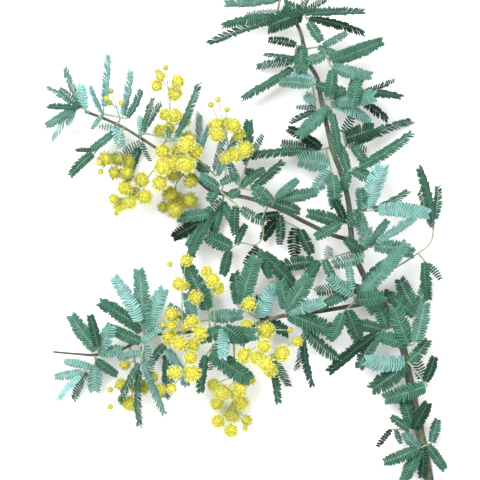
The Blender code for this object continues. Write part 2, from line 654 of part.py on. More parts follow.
def plan_frond(settling, draw, frond):
    """Lays out a frond: its stalks and pinnae, with their free heights and their balls.

    The pinna that points most nearly straight on sits at the stalk's end, and the others behind it in turn.
    """
    stem = next(stem for stem in STEMS if stem.name == frond.stem)
    plans = []
    for fan in frond.fans:
        hub_height = settling.free(fan.level)
        if plans:
            first = plans[0].line
            share = max(first.nearest(fan.route[0]), FIRST_FORK)
            point, height = first.at(share)
            seat = None
        else:
            seat = stem_seat(stem, fan.route[0], fan.level)
            point, height = seat.knee.xy, {FIXED: seat.knee.z}
        line = line_through([point, *fan.route], height, hub_height)
        line_balls(settling, frond.name, line, STALK_RADIUS, stem.name)
        reach = sum((high - low).length for low, high in zip(line.points, line.points[1:]))
        ahead = line.points[-1] - line.points[-2]
        rows = sorted(fan.pinnae, key=lambda row: ahead.angle(Vector(row[:2]) - line.points[-1]))
        pinnae = []
        for order, row in enumerate(rows):
            share = 1 - min(PINNA_SPACING * order / reach, 0.75)
            pinna = pinna_of(settling, draw, line, share, row, fan.level)
            pinna_balls(settling, frond.name, f"pinna {len(settling.starts)}", pinna)
            pinnae.append(pinna)
        plans.append(StalkPlan(line, seat, pinnae))
    return plans


@dataclass
class Head:
    """A round head or bud on its stalk."""

    centre: Vector
    height: dict
    radius: float
    foot: Vector
    foot_height: dict
    is_bud: bool


def plan_raceme(settling, draw, raceme):
    """Lays out a raceme: its axis, and its heads with their free heights and their balls."""
    stem = next(stem for stem in STEMS if stem.name == raceme.stem)
    seat = stem_seat(stem, raceme.route[0], raceme.level)
    line = line_through([seat.knee.xy, *raceme.route], {FIXED: seat.knee.z}, {FIXED: raceme.level})
    line_balls(settling, raceme.name, line, AXIS_RADIUS, stem.name)
    heads = []
    rows = [(row, False) for row in raceme.heads] + [((*row, BUD_RADIUS), True) for row in raceme.buds]
    for row, is_bud in rows:
        centre = Vector(row[:2])
        share = max(line.nearest(centre) - STALKLET_SETBACK, FIRST_FORK)
        foot, foot_height = line.at(share)
        level = blend({FIXED: seat.knee.z}, {FIXED: raceme.level}, share)[FIXED]
        if len(row) == 4:
            height = {FIXED: row[3]}
        else:
            height = settling.free(max(row[2] + 1, level + draw.uniform(*HEAD_RISE)))
        radius = row[2] * HEAD_BALL_SHARE
        settling.balls.append(Ball(raceme.name, f"head {len(heads)}", *centre, radius, radius, height))
        for part in (0.3, 0.6):
            point = foot.lerp(centre, part)
            part_height = blend(foot_height, height, part)
            ball = Ball(raceme.name, "stalk", *point, STALKLET_BALL, STALKLET_BALL, part_height, stem.name)
            ball.is_root = True
            settling.balls.append(ball)
        heads.append(Head(centre, height, row[2], foot, foot_height, is_bud))
    return line, seat, heads


def stem_balls(settling, stem):
    """The balls that stand for a stem."""
    route = smooth_route(stem.route, STEM_BALL_STEP)
    for index, point in enumerate(route):
        radius = along(stem.radii, index / (len(route) - 1))
        settling.balls.append(Ball(stem.name, "stem", point.x, point.y, radius, radius, {FIXED: point.z}))


def new_collection(name):
    """A collection in the scene."""
    collection = bpy.data.collections.new(name)
    bpy.context.scene.collection.children.link(collection)
    return collection


def finish_material(name):
    """The Principled material of one finish."""
    colour, roughness = FINISHES[name]
    material = bpy.data.materials.new(name)
    material.use_nodes = True
    shader = material.node_tree.nodes["Principled BSDF"]
    shader.inputs["Base Color"].default_value = (*colour, 1)
    shader.inputs["Roughness"].default_value = roughness
    shader.inputs["Metallic"].default_value = 0.0
    return material


def mesh_object(name, bm, collection):
    """A new object from a bmesh, which is freed."""
    mesh = bpy.data.meshes.new(name)
    bm.to_mesh(mesh)
    bm.free()
    obj = bpy.data.objects.new(name, mesh)
    collection.objects.link(obj)
    return obj


def tube(name, points, radii, sides, collection):
    """A round tube through points in millimetres, as a closed mesh object."""
    curve = bpy.data.curves.new(name, "CURVE")
    curve.dimensions = "3D"
    curve.bevel_depth = MM
    curve.bevel_resolution = sides // 2 - 2
    curve.use_fill_caps = True
    spline = curve.splines.new("POLY")
    spline.points.add(len(points) - 1)
    for index, (knot, point) in enumerate(zip(spline.points, points)):
        knot.co = (*(point * MM), 1)
        knot.radius = along(radii, index / (len(points) - 1))
    guide = bpy.data.objects.new(name, curve)
    collection.objects.link(guide)
    evaluated = guide.evaluated_get(bpy.context.evaluated_depsgraph_get())
    bm = bmesh.new()
    bm.from_mesh(bpy.data.meshes.new_from_object(evaluated))
    bmesh.ops.remove_doubles(bm, verts=bm.verts, dist=1e-6)
    bpy.data.objects.remove(guide)
    return mesh_object(name, bm, collection)


def bar(lengths):
    """A three-sided bar along X from 0 to 1, flat side up, cut into a number of lengths."""
    bm = bmesh.new()
    bmesh.ops.create_cone(bm, cap_ends=True, segments=3, radius1=1, radius2=1, depth=1)
    turn = Matrix(((0, 0, 1), (1, 0, 0), (0, 1, 0))).to_4x4()
    half_turn = Matrix.Rotation(math.pi, 4, "X")
    bmesh.ops.transform(bm, matrix=Matrix.Translation((0.5, 0, 0)) @ half_turn @ turn, verts=bm.verts)
    long_edges = [edge for edge in bm.edges if abs(edge.verts[0].co.x - edge.verts[1].co.x) > 0.5]
    if lengths > 1:
        bmesh.ops.subdivide_edges(bm, edges=long_edges, cuts=lengths - 1)
    return bm


def frame_at(stations, place):
    """The point at a place along a row of stations, and the directions forward, beside and upright there."""
    low, high = math.floor(place), math.ceil(place)
    point = stations[low].lerp(stations[high], place - low)
    if low == high:
        low, high = max(low - 1, 0), min(high + 1, len(stations) - 1)
    forward = (stations[high] - stations[low]).normalized()
    whole = stations[-1] - stations[0]
    run = forward if forward.xy.length > 0.2 else whole
    beside = Vector((-run.y, run.x, 0)).normalized()
    beside = (beside - forward * forward.dot(beside)).normalized()
    return point, forward, beside, forward.cross(beside)


def stalk_mesh(points, radius, name, collection):
    """A thin three-sided stalk through points in millimetres, which follows each bend without a twist."""
    bm = bar(len(points) - 1)
    _, _, beside, _ = frame_at(points, 0)
    frames = []
    for place in range(len(points)):
        point, forward, _, _ = frame_at(points, place)
        beside = (beside - forward * forward.dot(beside)).normalized()
        frames.append((point, beside, forward.cross(beside)))
    for vert in bm.verts:
        point, beside, upright = frames[round(vert.co.x * (len(points) - 1))]
        vert.co = (point + (beside * vert.co.y + upright * vert.co.z) * radius) * MM
    return mesh_object(name, bm, collection)


def pinna_mesh(settling, pinna, stalk, name, collection):
    """A pinna: a three-sided rib with its lower faces drawn out into leaflets and its end drawn to a point.

    It grows on from the points of a stalk, if it has one, or else starts inside the stalk.
    """
    root = settling.value(pinna.root_height)
    rise = settling.value(pinna.tip_height) - root

    def centre(share):
        return Vector((*pinna.plan(share), root + rise * share + pinna.arch(share)))

    count = min(max(round(pinna.length / LEAFLET_PITCH), FEWEST_LEAFLETS), MOST_LEAFLETS)
    bare = [*stalk[:-1], centre(0)]
    stations = bare + [centre(BARE_SHARE + (1 - BARE_SHARE) * k / count) for k in range(count + 1)]
    lengths = len(stations) - 1
    bm = bar(lengths)
    sides = [face for face in bm.faces if abs(face.normal.x) < 0.1 and abs(face.normal.y) > 0.5]
    leafy = [face for face in sides if face.calc_center_median().x * lengths > len(bare)]
    tips = bmesh.ops.poke(bm, faces=leafy)["verts"]
    last = [vert for vert in bm.verts if vert.co.x > 1 - 0.25 / lengths]
    for vert in bm.verts:
        place = round(vert.co.x * lengths * 2) / 2
        share = BARE_SHARE + (1 - BARE_SHARE) * (place - len(bare)) / count
        point, forward, beside, upright = frame_at(stations, place)
        roll = pinna.roll if place >= len(bare) else 0.0
        radius = RIB_RADIUS * (1 - RIB_TAPER * share) if place >= len(stalk) - 1 else STALK_RADIUS
        across, up = vert.co.y * radius, vert.co.z * radius
        if vert in tips:
            across = math.copysign(pinna.half_width * pinna.envelope(share), vert.co.y)
            point = point + forward * LEAFLET_SLANT
            up = -LEAFLET_DROOP * abs(across)
        if vert in last:
            point = point + forward * LEAFLET_SLANT
            across, up = 0.0, 0.0
        across, up = (
            across * math.cos(roll) - up * math.sin(roll),
            across * math.sin(roll) + up * math.cos(roll),
        )
        vert.co = (point + beside * across + upright * up) * MM
    bmesh.ops.remove_doubles(bm, verts=last, dist=1e-6)
    return mesh_object(name, bm, collection)


def line_points(settling, line, seat):
    """The points of a stalk, from its seat on the stem or from the stalk that it forks off."""
    points = [Vector((*point, settling.value(height))) for point, height in zip(line.points, line.heights)]
    if seat:
        points.insert(0, seat.foot)
    return points


def head_mesh(settling, head, draw, name, collection):
    """A head: a small core that florets stand out of on all sides, with one face drawn out into the stalk.

    A bud is a smaller core with only the stalk.
    """
    centre = Vector((*head.centre, settling.value(head.height)))
    foot = Vector((*head.foot, settling.value(head.foot_height)))
    below = (foot - centre).normalized()
    bm = bmesh.new()
    core = head.radius if head.is_bud else head.radius * CORE_SHARE
    around = BUD_SIDES if head.is_bud else HEAD_SIDES
    bmesh.ops.create_uvsphere(bm, u_segments=around, v_segments=2, radius=core)
    turn = Matrix.Rotation(draw.uniform(0, math.tau), 4, Vector((draw.random(), draw.random(), 1)))
    bmesh.ops.transform(bm, matrix=turn, verts=bm.verts)
    drawn_out = max(bm.faces, key=lambda face: face.normal.dot(below))
    florets = [] if head.is_bud else [face for face in bm.faces if face is not drawn_out]
    for vert in bmesh.ops.poke(bm, faces=florets)["verts"]:
        vert.co = vert.co.normalized() * head.radius
    middle = drawn_out.calc_center_median()
    bmesh.ops.inset_individual(bm, faces=[drawn_out], thickness=STALKLET_INSET * core)
    for vert in drawn_out.verts:
        vert.co = middle + (vert.co - middle).normalized() * STALKLET_RADIUS
    stalk = bmesh.ops.poke(bm, faces=[drawn_out])["verts"][0]
    stalk.co = foot - centre + below * AXIS_RADIUS * 0.8
    bmesh.ops.transform(bm, matrix=Matrix.Scale(MM, 4) @ Matrix.Translation(centre), verts=bm.verts)
    return mesh_object(name, bm, collection)


def applied(obj):
    """The object with its modifiers made part of its mesh, and sealed hollows and loose scraps left out."""
    evaluated = obj.evaluated_get(bpy.context.evaluated_depsgraph_get())
    mesh = bpy.data.meshes.new_from_object(evaluated)
    obj.modifiers.clear()
    obj.data = mesh
    bm = bmesh.new()
    bm.from_mesh(mesh)
    bmesh.ops.triangulate(bm, faces=bm.faces)
    unseen = set(bm.faces)
    islands = []
    while unseen:
        island = [unseen.pop()]
        for face in island:
            joined = {other for edge in face.edges if edge.is_manifold for other in edge.link_faces} & unseen
            unseen -= joined
            island += joined
        islands.append(island)
    islands.sort(key=len)
    bmesh.ops.delete(bm, geom=sum(islands[:-1], []), context="FACES")
    bm.to_mesh(mesh)
    bm.free()
    return obj


def fused(name, pieces, material, collection):
    """One solid from several that overlap, in the given collection."""
    base, others = pieces[0], pieces[1:]
    operands = new_collection(f"{name} operands")
    for piece in others:
        for owner in piece.users_collection:
            owner.objects.unlink(piece)
        operands.objects.link(piece)
    union = base.modifiers.new("union", "BOOLEAN")
    union.operation = "UNION"
    union.operand_type = "COLLECTION"
    union.collection = operands
    union.solver = "MANIFOLD"
    applied(base)
    for piece in others:
        bpy.data.objects.remove(piece)
    bpy.data.collections.remove(operands)
    base.name = name
    base.data.materials.clear()
    base.data.materials.append(material)
    for owner in base.users_collection:
        owner.objects.unlink(base)
    collection.objects.link(base)
    return base


def cut_at_surface(obj, floor):
    """Cuts away what would reach below the surface, and leaves a small flat spot there."""
    if min(vert.co.z for vert in obj.data.vertices) >= 0:
        return
    cut = obj.modifiers.new("surface", "BOOLEAN")
    cut.operation = "DIFFERENCE"
    cut.solver = "MANIFOLD"
    cut.object = floor
    applied(obj)


def build():
    """Builds the whole sprig."""
    for obj in list(bpy.data.objects):
        bpy.data.objects.remove(obj)
    sprig = new_collection("mimosa_sprig")
    loose = new_collection("loose")
    cutters = new_collection("cutters")
    materials = {name: finish_material(name) for name in FINISHES}
    draw = random.Random(SEED)

    bm = bmesh.new()
    bmesh.ops.create_cube(bm, size=1)
    bmesh.ops.transform(bm, matrix=Matrix.Translation((-0.09, 0.12, -0.5)), verts=bm.verts)
    floor = mesh_object("floor", bm, cutters)
    floor.hide_render = True
    floor.display_type = "WIRE"

    settling = Settling()
    for stem in STEMS:
        stem_balls(settling, stem)
    racemes = {raceme.name: plan_raceme(settling, draw, raceme) for raceme in RACEMES}
    fronds = {frond.name: plan_frond(settling, draw, frond) for frond in FRONDS}
    settling.settle()

    for stem in STEMS:
        obj = tube(stem.name, smooth_route(stem.route, STEM_STEP), stem.radii, stem.sides, sprig)
        obj.data.materials.append(materials[stem.finish])
        obj.data.shade_smooth()
        cut_at_surface(obj, floor)
    for name, plans in fronds.items():
        pieces = []
        for plan in plans:
            stalk = line_points(settling, plan.line, plan.seat)
            for pinna in plan.pinnae:
                pieces.append(pinna_mesh(settling, pinna, stalk, name, loose))
                stalk = []
        cut_at_surface(fused(name, pieces, materials["foliage"], sprig), floor)
    for name, (line, seat, heads) in racemes.items():
        pieces = [stalk_mesh(line_points(settling, line, seat), AXIS_RADIUS, name, loose)]
        for head in heads:
            pieces.append(head_mesh(settling, head, draw, name, loose))
        cut_at_surface(fused(name, pieces, materials["flower"], sprig), floor)
    bpy.data.collections.remove(loose)


if __name__ == "__main__":
    build()
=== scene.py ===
"""The looks of a cut sprig of mimosa, a blue-green feathery wattle, lying on a pale floor, seen from above.

The sprig is laid out in millimetres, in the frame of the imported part: its leader runs up +Y and its flowering
branches towards -X. Each node of the part gets a finer piece in its place: fronds with every leaflet, heads
with their stamens, and round stems with bark.
"""

from __future__ import annotations

import logging
import math
import random
from dataclasses import dataclass, field
from enum import Enum

import bpy
import numpy as np
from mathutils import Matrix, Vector


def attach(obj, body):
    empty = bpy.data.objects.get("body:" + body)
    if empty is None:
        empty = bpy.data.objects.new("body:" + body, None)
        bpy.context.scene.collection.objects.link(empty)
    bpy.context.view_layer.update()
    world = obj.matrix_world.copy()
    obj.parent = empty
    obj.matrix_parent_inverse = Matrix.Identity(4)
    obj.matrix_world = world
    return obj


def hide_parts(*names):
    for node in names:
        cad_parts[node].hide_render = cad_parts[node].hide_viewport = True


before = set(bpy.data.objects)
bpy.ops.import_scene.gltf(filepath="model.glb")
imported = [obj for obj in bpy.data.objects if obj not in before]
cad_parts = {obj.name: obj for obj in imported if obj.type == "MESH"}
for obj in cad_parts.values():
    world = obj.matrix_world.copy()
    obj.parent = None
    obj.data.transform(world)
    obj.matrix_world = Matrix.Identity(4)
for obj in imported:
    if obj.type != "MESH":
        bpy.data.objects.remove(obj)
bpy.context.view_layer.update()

LOG = logging.getLogger("mimosa_sprig")
MM = 0.001
SEED = 41
FIXED = "fixed"

# How the sprig settles. The part's solids settle by the same rule. Sizes are in millimetres.
SEAT_GAP = 0.3
KNEE = 1.2
CLEARANCE = 0.55
FLOOR_CLEARANCE = 0.35
STALK_BALL = 0.9
AXIS_BALL = 0.75
STALKLET_BALL = 0.6
HEAD_BALL_SHARE = 0.93
STEM_BALL_STEP = 1.5
PINNA_BALL_MARGIN = 0.2
PINNA_BALL_DEPTH = 0.45
PINNA_ROOT_SHARE = 0.25
PINNA_BALL_OUTLINE = (0.1, 0.8, 0.75)
LINE_BALL_STEP = 2.0
BESIDE_STEM = 5.0
LOWEST = 0.3
HIGHEST = 44.0
SETTLING_ROUNDS = 900
STRIDE = 0.8
EASE = 0.02

# How pinnae and heads are laid out: lengths in millimetres, angles in radians, the rest shares of a length.
PINNA_SPACING = 2.2
NEAREST_TRIES = 40
FIRST_FORK = 0.1
FARTHEST_FORK = 0.75
FULL_HALF_SHARE = 0.19
FULL_HALF_MOST = 4.2
NARROWEST_SHARE = 0.5
FLAT_ROLL = 0.15
SLIGHT_ROLL = (0.08, 0.26)
ARCH = 0.05
BOW = 0.05
TIP_RISE = (-3.5, 2.5)
LOWEST_TIP = 2.0
PINNA_BALLS = (0.12, 0.3, 0.48, 0.66, 0.84, 0.98)
HEAD_RISE = (-3.0, 4.0)
STALKLET_SETBACK = 0.12
STALKLET_BALLS = (0.3, 0.6)
BUD_RADIUS = 1.5

HeightSum = dict[int | str, float]
Rng = np.random.Generator
Node = bpy.types.Node
Socket = bpy.types.NodeSocket


class Tone(Enum):
    """How pale a fan of pinnae or a spray of heads is, from 0 for the darkest green or olive to 1; partly
    painted shade.
    """

    DARK = 0.22
    MIXED = 0.46
    PALE = 0.63
    CHALKY = 0.78


DARK, MIXED, PALE, CHALKY = Tone


@dataclass(frozen=True)
class Stem:
    """A woody stem: its centreline in plan and height, and its radius from the lower end to the upper."""

    name: str
    slot: str
    route: tuple
    radii: tuple


@dataclass(frozen=True)
class Fan:
    """A stalk with pinnae at its end: its route in plan, its end's height, and each pinna's tip and width.

    A fourth number in a pinna holds its tip at that height.
    """

    tone: Tone
    route: tuple
    level: float
    pinnae: tuple


@dataclass(frozen=True)
class Frond:
    """The fans that leave a stem at one point."""

    name: str
    stem: Stem
    fans: tuple


@dataclass(frozen=True)
class Raceme:
    """A flower spray: its axis in plan, its end's height, its heads (x, y, radius) and its buds (x, y).

    A fourth number in a head holds its centre at that height.
    """

    name: str
    stem: Stem
    tone: Tone
    route: tuple
    level: float
    heads: tuple
    buds: tuple = ()


LEADER = Stem(
    "stem_leader",
    "bark",
    (
        (1.5, -9, 2.1), (0, 0, 2.1), (-1.5, 9, 2.3), (-4.5, 22.5, 4), (-7, 35, 5.8), (-10, 50, 8),
        (-13, 65, 10), (-17, 77.5, 12), (-24, 90, 13.5), (-31, 99, 14.5), (-36, 109, 15.3), (-39, 120, 16),
        (-40.5, 137.5, 16.5), (-44, 152.5, 16.5), (-47.5, 161.5, 16.3), (-50.5, 172.5, 16),
        (-55, 194, 15.4), (-56.5, 201.5, 15), (-61.5, 210, 14.6), (-63, 216.5, 14.3), (-65, 225, 14),
        (-69.5, 233, 13.5), (-72, 240, 13), (-73, 246, 12.6),
    ),
    (2.4, 2.2, 1.5, 1.3, 1.1, 0.75),
)
UPPER = Stem(
    "stem_upper_branch",
    "bark",
    (
        (-41.5, 120.5, 16.3), (-50, 123, 17), (-62.5, 129, 17.8), (-71, 133.5, 18), (-80, 137.5, 18),
        (-91, 141, 18), (-101, 143, 17.6), (-110, 145, 17.3), (-117, 151, 17), (-125, 157.5, 17),
        (-132.5, 163, 17), (-140, 168, 17), (-151, 175, 17.4), (-159, 179, 17.8), (-165, 181.5, 18.2),
        (-172.5, 184.3, 18.6),
    ),
    (1.1, 1.0, 0.9, 0.7, 0.6),
)
LOWER = Stem(
    "stem_lower_branch",
    "green_stem",
    (
        (-26.6, 89.5, 13.9), (-34, 88, 14.4), (-42.5, 86.5, 15), (-57.5, 84, 15.5), (-74, 82, 15.5),
        (-90, 77, 15), (-110, 75, 14.5), (-125, 73.5, 14), (-140, 72, 13.5), (-155, 65, 13),
        (-167.5, 62.5, 13.2), (-177.5, 63, 13.8), (-188.5, 64, 14.5),
    ),
    (1.1, 1.0, 0.8, 0.7, 0.5),
)
STEMS = (LEADER, UPPER, LOWER)

FRONDS = (
    # Along the upper branch, from its tip inwards.
    Frond("frond_upper_01", UPPER, (
        Fan(CHALKY, ((-178, 188),), 25, ((-173.8, 196.5, 6), (-182.5, 205, 3), (-184, 194.5, 4),
            (-190.5, 196, 2.6), (-189.5, 186.5, 3.5))),
        Fan(CHALKY, ((-178, 184.5),), 21, ((-191, 177.5, 5.5), (-189.5, 171.5, 4.2), (-181, 178, 3.5))),
    )),
    Frond("frond_upper_02", UPPER, (
        Fan(CHALKY, ((-163, 185),), 25, ((-160.5, 211.5, 3.2), (-169.5, 196, 2.4), (-168.5, 176, 2.6))),
        Fan(CHALKY, ((-151.5, 180.5),), 27, ((-149.5, 203.5, 3.6), (-144.5, 194, 4))),
    )),
    Frond("frond_upper_03", UPPER, (
        Fan(PALE, ((-158, 174.5),), 12, ((-169, 166, 4.5), (-154.5, 167.5, 6.5), (-165, 177, 4))),
        Fan(MIXED, ((-168, 163.5),), 10, ((-179.5, 153, 5.5), (-176.5, 165, 2.6))),
    )),
    Frond("frond_upper_04", UPPER, (
        Fan(CHALKY, ((-144, 173.5),), 25, ((-135, 187.5, 4.6), (-139, 190, 3), (-145, 181.5, 3.5))),
        Fan(PALE, ((-128, 170),), 27, ((-116, 197, 3.2), (-131, 176, 2.6))),
    )),
    Frond("frond_upper_05", UPPER, (
        Fan(MIXED, ((-145, 167),), 9, ((-154, 163, 6.5), (-151.5, 149.5, 5.5), (-140.5, 160, 3))),
    )),
    Frond("frond_upper_06", UPPER, (
        Fan(CHALKY, ((-115.5, 162),), 17, ((-115, 182.5, 3), (-109.5, 178, 3))),
        Fan(CHALKY, ((-107, 152),), 17, ((-102.5, 175, 4.2), (-96, 174.5, 4), (-116, 157, 5.5))),
    )),
    Frond("frond_upper_07", UPPER, (
        Fan(PALE, ((-95, 148),), 22, ((-83.5, 155, 5), (-100, 158, 5), (-99.5, 142.5, 5.5))),
        Fan(MIXED, ((-90.5, 161),), 18, ((-90.5, 178.5, 6.5), (-84, 172, 4), (-95, 169.5, 3),
            (-88.5, 153.5, 5))),
        Fan(MIXED, ((-88, 144.5),), 24, ((-74.5, 158.5, 5), (-83, 138.5, 6))),
    )),
    Frond("frond_upper_08", UPPER, (
        Fan(PALE, ((-104, 137),), 11, ((-113, 133, 5.5), (-108.5, 123, 6), (-97, 126.5, 5))),
        Fan(MIXED, ((-112, 129),), 9, ((-128, 121.5, 7.5), (-120, 111, 5.5), (-125.5, 131, 7),
            (-121, 117.5, 5.5))),
    )),
    Frond("leafy_twig_inner", UPPER, (
        Fan(DARK, ((-84, 130), (-83.5, 122), (-87.5, 117.5), (-95, 118.5), (-100.5, 115)), 13, (
            (-110.5, 121.5, 9), (-103.5, 103.5, 6), (-92.5, 127, 4.6))),
        Fan(DARK, ((-84.5, 114),), 14, ((-68, 97, 8.5), (-92, 108.5, 5), (-80.5, 102, 5))),
    )),
    Frond("frond_upper_09", UPPER, (
        Fan(MIXED, ((-77, 141),), 28, ((-58.5, 143.5, 7), (-67, 149.5, 5), (-86, 146, 5), (-66, 134.5, 6))),
    )),
    Frond("frond_upper_10", UPPER, (
        Fan(DARK, ((-76, 131),), 11, ((-83, 121, 6.5), (-75, 118.5, 5.5), (-86, 132, 5))),
        Fan(DARK, ((-65, 125.5),), 12, ((-67.5, 112.5, 7.5), (-59.5, 114, 6.5))),
    )),
    # Along the leader, from its tip downwards.
    Frond("frond_leader_01", LEADER, (
        Fan(PALE, ((-75, 240.5),), 17, ((-101.5, 238, 5.5), (-84, 246, 4.5), (-86, 239.5, 4))),
        Fan(CHALKY, ((-77, 230),), 12, ((-102.5, 227.5, 5.5), (-110, 219, 4.5, 0.4), (-91.5, 233.5, 4))),
    )),
    Frond("frond_leader_02", LEADER, (
        Fan(CHALKY, ((-63.5, 234),), 17, ((-51, 241, 3.8), (-34, 234, 3), (-60, 245.5, 4))),
        Fan(DARK, ((-61, 229),), 25, ((-80, 227, 11.5), (-34, 223.5, 5), (-55, 220, 6), (-72, 237, 7))),
    )),
    Frond("frond_leader_03", LEADER, (
        Fan(DARK, ((-66.5, 217),), 22, ((-80, 220, 5), (-64.5, 205, 8.5))),
        Fan(MIXED, ((-67.5, 207),), 11, ((-86, 207.5, 5), (-93, 191.5, 5), (-82, 213, 3))),
    )),
    Frond("frond_leader_04", LEADER, (
        Fan(CHALKY, ((-54, 217),), 15, ((-42, 223.5, 4.5), (-45.5, 212.5, 4.5))),
        Fan(PALE, ((-49, 205),), 24, ((-38, 215, 5), (-24.5, 219, 8), (-30.5, 202, 7), (-60, 209.5, 6.5),
            (-50.5, 192.5, 7))),
    )),
    Frond("frond_leader_05", LEADER, (
        Fan(PALE, ((-59, 197.5),), 22, ((-74.5, 199, 7), (-67.5, 204, 7), (-43.5, 194.5, 6))),
        Fan(PALE, ((-57, 184.5),), 12, ((-61.5, 192, 6), (-69, 179, 3.6), (-66, 186.5, 3))),
    )),
    Frond("frond_leader_06", LEADER, (
        Fan(DARK, ((-33, 194),), 15, ((-15.5, 191.5, 4.5), (-21.5, 181, 5), (-18, 199.5, 2.8),
            (-35.5, 202.5, 7))),
        Fan(PALE, ((-49, 184.5),), 26, ((-29, 191.5, 10), (-31, 180, 6.5), (-65, 172.5, 8), (-46, 164, 5))),
        Fan(PALE, ((-39.5, 187),), 31, ((-37, 198.5, 7),)),
    )),
    Frond("frond_leader_07", LEADER, (
        Fan(MIXED, ((-34.5, 169),), 10, ((-9.5, 180, 5, 0.4), (-24, 176.5, 4), (-31.5, 158.5, 5.5))),
        Fan(DARK, ((-43.5, 173),), 14, ((-29, 175.5, 9.5), (-38.5, 182, 6), (-32, 165.5, 6))),
    )),
    Frond("frond_leader_08", LEADER, (
        Fan(DARK, ((-58, 164.5),), 12, ((-92.5, 162, 5), (-70, 175.5, 6), (-73.5, 168.5, 7))),
        Fan(PALE, ((-49, 153),), 24, ((-64.5, 160, 11), (-57.5, 145, 7.5), (-47.5, 137.5, 8))),
    )),
    Frond("frond_leader_09", LEADER, (
        Fan(MIXED, ((-37, 156),), 22, ((-10, 173, 6), (-27.5, 150.5, 7), (-43.5, 145.5, 6.5), (-45, 166, 6))),
    )),
    Frond("frond_leader_10", LEADER, (
        Fan(PALE, ((-27.5, 135),), 25, ((-24.5, 156, 10.5), (-2, 133, 8.5), (-35, 145, 6.5),
            (-33, 123.5, 7.5), (-40.5, 129, 7.5), (-12, 144, 4.5))),
    )),
    Frond("frond_leader_11", LEADER, (
        Fan(CHALKY, ((-27, 117.5),), 21, ((-9, 130, 5), (-9, 113.5, 8.5), (-22, 129, 5))),
        Fan(MIXED, ((-33, 111.5),), 25, ((-47.5, 108, 8), (-31.5, 125, 7), (-41.5, 119.5, 6.5))),
    )),
    Frond("frond_leader_12", LEADER, (
        Fan(MIXED, ((-45, 128),), 25, ((-60, 133, 7.5), (-56.5, 122, 6.5), (-47.5, 139.5, 5))),
    )),
    Frond("frond_leader_13", LEADER, (
        Fan(MIXED, ((-57, 109),), 10, ((-73, 107, 8.5), (-63, 97.5, 6.5), (-48.5, 101, 5.5), (-50, 116, 6))),
    )),
    # Along the lower branch, from the leader outwards.
    Frond("frond_lower_01", LOWER, (
        Fan(MIXED, ((-39, 95),), 27, ((-12.5, 118, 8), (-50, 101, 7.5), (-41, 107.5, 5), (-24, 92, 8.5))),
        Fan(MIXED, ((-43.5, 84),), 24, ((-36, 71, 9), (-50, 71, 7))),
    )),
    Frond("frond_lower_02", LOWER, (
        Fan(PALE, ((-72, 85),), 21, ((-74.5, 99, 8), (-61, 101, 10), (-50, 75, 10.5), (-54, 89, 8))),
    )),
    Frond("frond_lower_03", LOWER, (
        Fan(CHALKY, ((-86, 80.5),), 15, ((-77.5, 97, 9), (-71.5, 73.5, 7.5))),
        Fan(MIXED, ((-96, 87),), 17, ((-87, 110.5, 10), (-97.5, 102.5, 8), (-84, 91, 6))),
    )),
    Frond("frond_lower_04", LOWER, (
        Fan(CHALKY, ((-111, 86),), 17, ((-122, 107.5, 9.5), (-111, 99, 7), (-95, 82.5, 8))),
        Fan(CHALKY, ((-120.5, 79),), 15, ((-121.5, 92.5, 7), (-130, 87, 5))),
    )),
    Frond("frond_lower_05", LOWER, (
        Fan(PALE, ((-107, 69),), 20, ((-88.5, 73, 9.5), (-109.5, 55.5, 4.5))),
        Fan(MIXED, ((-111.5, 63),), 22, ((-91, 51, 11), (-114.5, 45, 5.5))),
    )),
    Frond("frond_lower_06", LOWER, (
        Fan(MIXED, ((-132, 63.5),), 9, ((-132.5, 42, 7), (-122, 48, 5.5), (-140, 58, 5))),
    )),
    Frond("frond_lower_07", LOWER, (
        Fan(PALE, ((-144.5, 78),), 24, ((-145.5, 104.5, 9), (-157.5, 101, 8), (-164, 88.5, 8),
            (-133.5, 94.5, 9))),
    )),
    Frond("frond_lower_08", LOWER, (
        Fan(PALE, ((-143, 68),), 19, ((-160, 76, 7), (-141, 53.5, 8), (-134, 77, 6))),
        Fan(PALE, ((-145, 57),), 18, ((-155, 40, 4), (-145.5, 28, 3), (-133, 34, 2.6), (-155.5, 61, 5))),
    )),
    Frond("frond_lower_09", LOWER, (
        Fan(PALE, ((-166, 66),), 22, ((-179, 81.5, 8.5), (-169.5, 81.5, 5.5), (-159.5, 76.5, 8.5),
            (-155, 65, 7))),
    )),
    Frond("frond_lower_10", LOWER, (
        Fan(MIXED, ((-167, 58),), 11, ((-157.5, 53, 5.5), (-168, 45.5, 8.5))),
        Fan(CHALKY, ((-175, 52.5),), 10, ((-187, 51.5, 5.5), (-185.5, 41, 4), (-178.5, 40.5, 5),
            (-182, 59, 5))),
    )),
    Frond("frond_lower_11", LOWER, (
        Fan(MIXED, ((-63, 72),), 9, ((-45.5, 60.5, 7), (-59, 48, 3.8), (-66, 55.5, 4))),
        Fan(CHALKY, ((-80, 62),), 9, ((-76, 39.5, 4.6), (-71, 47, 4.6))),
    )),
    # Near the cut end.
    Frond("frond_base_01", LEADER, (
        Fan(MIXED, ((-27, 73),), 18, ((-50, 54.5, 6.5), (-35, 56.5, 8), (-26, 87.5, 8), (-40.5, 78, 7))),
    )),
    Frond("frond_base_02", LEADER, (
        Fan(PALE, ((-8, 68),), 20, ((-17.5, 85.5, 10), (-3, 87.5, 9), (-25, 71.5, 8))),
        Fan(PALE, ((-6, 86),), 10, ((-14.5, 99.5, 9), (-0.5, 100, 7), (-22, 93, 7.5))),
    )),
    Frond("frond_base_03", LEADER, (
        Fan(MIXED, ((-11, 59),), 18, ((-31.5, 59.5, 9.5), (-28, 46, 10.5), (-1.5, 69, 7))),
        Fan(DARK, ((-1, 47),), 13, ((-21.5, 40.5, 9.5), (2, 60.5, 6), (-6, 58.5, 7))),
    )),
    Frond("frond_base_04", LEADER, (
